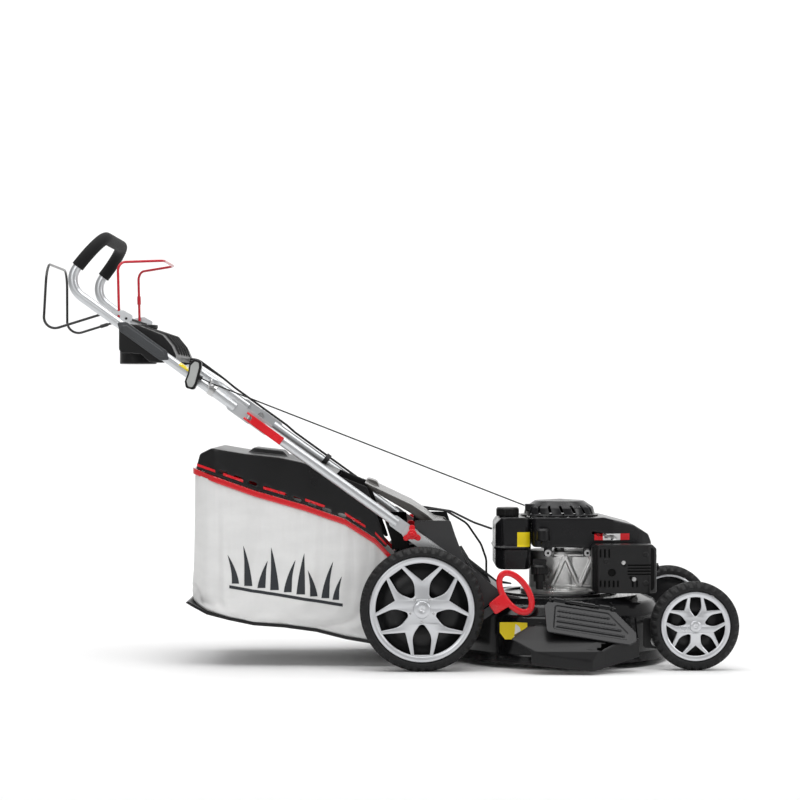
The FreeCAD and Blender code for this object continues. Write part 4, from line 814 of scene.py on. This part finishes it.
ROPE_OUT = Vector((322, -30, 361))
GUIDE = Vector((-405, -236, 650))
GRIP = Vector((-443, -236, 669))
ROPE_R = 1.6
ROPE_SHARE = 0.42
ROPE_SPOTS = [ROPE_OUT + (GUIDE - ROPE_OUT).normalized() * 3.6, ROPE_OUT.lerp(GUIDE, ROPE_SHARE), GUIDE,
              GRIP + (GUIDE - GRIP).normalized() * 15]
for k in range(3):
    ends = [ROPE_SPOTS[k], ROPE_SPOTS[k + 1]]
    piece = hose("rope_%d" % k, ends, ROPE_R, CABLE, None, 6.0, 10)
    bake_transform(piece)
    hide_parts("starter_rope")

# ---------------------------------------------------------------- colour patches, fixings, dark plates of painted shade

tank_side = surface_of([NODES["fuel_tank"]])
tank_label = [(298, 269), (328, 269), (328, 303), (298, 303)]
laid_on("tank_patch", tank_side, [tank_label], YELLOW, "chassis")
shroud_side = surface_of([NODES["blower_shroud"]], finished=False)
STRIP_LOW, STRIP_HIGH = 285, 300
STRIP = [(477, 497, RED), (497, 503, WHITE), (503, 532, WHITE), (532, 538, WHITE), (538, 560, RED)]
for k, (x0, x1, finish) in enumerate(STRIP):
    loop = [(x0, STRIP_LOW), (x1, STRIP_LOW), (x1, STRIP_HIGH), (x0, STRIP_HIGH)]
    laid_on("shroud_patch_%d" % k, shroud_side, [loop], finish, "chassis", lift=1.0)


def disc(x, z, radius):
    return [(x + across, z + up) for across, up in circle(radius, 28)]


for k, (x, z) in enumerate([(369, 255), (461, 255)]):
    laid_on("washer_%d" % k, shroud_side, [disc(x, z, 8)], STEEL, "chassis", lift=1.2, sink=1.0)
    laid_on("washer_screw_%d" % k, shroud_side, [disc(x, z, 3)], DARK, "chassis", lift=1.9,
            sink=1.0)
guard_side = surface_of([NODES["muffler_guard"]])
for k, (x, z) in enumerate([(539, 237), (563, 199)]):
    laid_on("guard_bolt_%d" % k, guard_side, [disc(x, z, 5)], STEEL, "chassis", lift=1.0,
            sink=1.0)

guard = NODES["muffler_guard"]
guard_box = [guard.matrix_world @ Vector(corner) for corner in guard.bound_box]
guard_low = Vector([min(corner[axis] for corner in guard_box) for axis in range(3)]) / MM
guard_high = Vector([max(corner[axis] for corner in guard_box) for axis in range(3)]) / MM


def upright_plate(name, line, thickness, bevel, spot, body):
    """Dark plate of painted shade standing square to the mower's side, through a point in metres."""
    place = Matrix.Translation(spot) @ Matrix.Rotation(math.radians(90), 4, "X")
    new_piece(name, pressed(name, line, [], thickness, bevel, flat, place), DARK, body)


# Painted shade: a flat dark plate inside the muffler guard, behind its slots, stands in for the shade in the
# guard.
GUARD_SHADE_INSET = 7
guard_shade_line = outline([(guard_low.x + GUARD_SHADE_INSET, guard_low.z + GUARD_SHADE_INSET, 10),
                       (guard_high.x - GUARD_SHADE_INSET, guard_low.z + GUARD_SHADE_INSET, 10),
                       (guard_high.x - GUARD_SHADE_INSET, guard_high.z - GUARD_SHADE_INSET, 10),
                       (guard_low.x + GUARD_SHADE_INSET, guard_high.z - GUARD_SHADE_INSET, 10)], 10)
guard_shade_spot = Vector((0, guard_low.y + GUARD_SHADE_INSET, 0)) * MM
upright_plate("guard_shade_plate", guard_shade_line, 1.6, 0.4, guard_shade_spot, "chassis")
# Painted shade: a dark plate inside the side chute's opening stands in for the shade there.
chute_shade_line = outline([(450, 74, 4), (524, 70, 4), (524, 44, 4), (450, 44, 4)], 4)
upright_plate("chute_shade_plate", chute_shade_line, 2.0, 0.5, at(0, -286, 0), "chassis")
# Painted shade: dark plates at both sides of the recess between the bag's lid and the rear door stand in for
# the shade in that recess.
duct_shade_line = outline([(-10, 336, 4), (40, 336, 4), (46, 268, 4), (12, 268, 4)], 4)
DUCT_SHADE_Y = 172
upright_plate("duct_shade_plate_right", duct_shade_line, 2.0, 0.5, at(0, -DUCT_SHADE_Y, 0), "chassis")
upright_plate("duct_shade_plate_left", duct_shade_line, 2.0, 0.5, at(0, DUCT_SHADE_Y, 0), "chassis")

handle_side = surface_of([NODES["upper_handle"]])
STRIP_START, STRIP_END = 619, 655
strip_corners = [(STRIP_START, 2), (STRIP_START, 9), (STRIP_END, 9), (STRIP_END, 2)]
strip_line = [beside(distance, lift, 0)[::2] for distance, lift in strip_corners]
laid_on("handle_strip", handle_side, [strip_line], YELLOW, "upper_handle", lift=0.5)

GRIP_LEAN = math.radians(75)
FACE = [(-29, -6), (-29, 4), (-18, 10), (0, 8), (18, 10), (29, 4), (29, -6), (18, -9), (-18, -9)]
grip_side = surface_of([NODES["starter_grip"]])
face_line = [(GRIP.x + a * math.cos(GRIP_LEAN) - b * math.sin(GRIP_LEAN),
              GRIP.z + a * math.sin(GRIP_LEAN) + b * math.cos(GRIP_LEAN)) for a, b in outline(FACE, 5)]
laid_on("grip_face", grip_side, [face_line], GRIP_GREY, "starter_grip", lift=1.0, sink=1.5)

deck_side = surface_of([NODES["deck_shell"]])
deck_label = [(252, 82), (264, 66), (278, 66), (314, 96), (314, 105), (252, 105)]
laid_on("deck_patch", deck_side, [deck_label], YELLOW, "chassis")
laid_on("deck_disc", deck_side, [disc(284, 86, 15)], WHITE, "chassis", lift=0.8)

# ---------------------------------------------------------------- floor and finish

COVE_START = 3.0
COVE_RADIUS = 2.5
COVE_STEPS = 24
FLOOR_FRONT = -16.0
FLOOR_HALF = 14.0
WALL_TOP = 9.0


def floor_line():
    """(y, z) points of a floor that curves up into a back wall."""
    line = [(FLOOR_FRONT, 0.0), (COVE_START, 0.0)]
    for step in range(1, COVE_STEPS + 1):
        angle = math.radians(90) * step / COVE_STEPS
        line.append((COVE_START + COVE_RADIUS * math.sin(angle), COVE_RADIUS * (1 - math.cos(angle))))
    return line + [(COVE_START + COVE_RADIUS, WALL_TOP)]


floor_points = floor_line()
floor_verts = [(x, y, z) for y, z in floor_points for x in (-FLOOR_HALF, FLOOR_HALF)]
floor_faces = [(2 * k, 2 * k + 1, 2 * k + 3, 2 * k + 2) for k in range(len(floor_points) - 1)]
floor_data = bpy.data.meshes.new("floor")
floor_data.from_pydata(floor_verts, [], floor_faces)
floor_data.polygons.foreach_set("use_smooth", [True] * len(floor_data.polygons))
floor_data.materials.append(FLOOR)
floor = bpy.data.objects.new("floor", floor_data)
bpy.context.scene.collection.objects.link(floor)
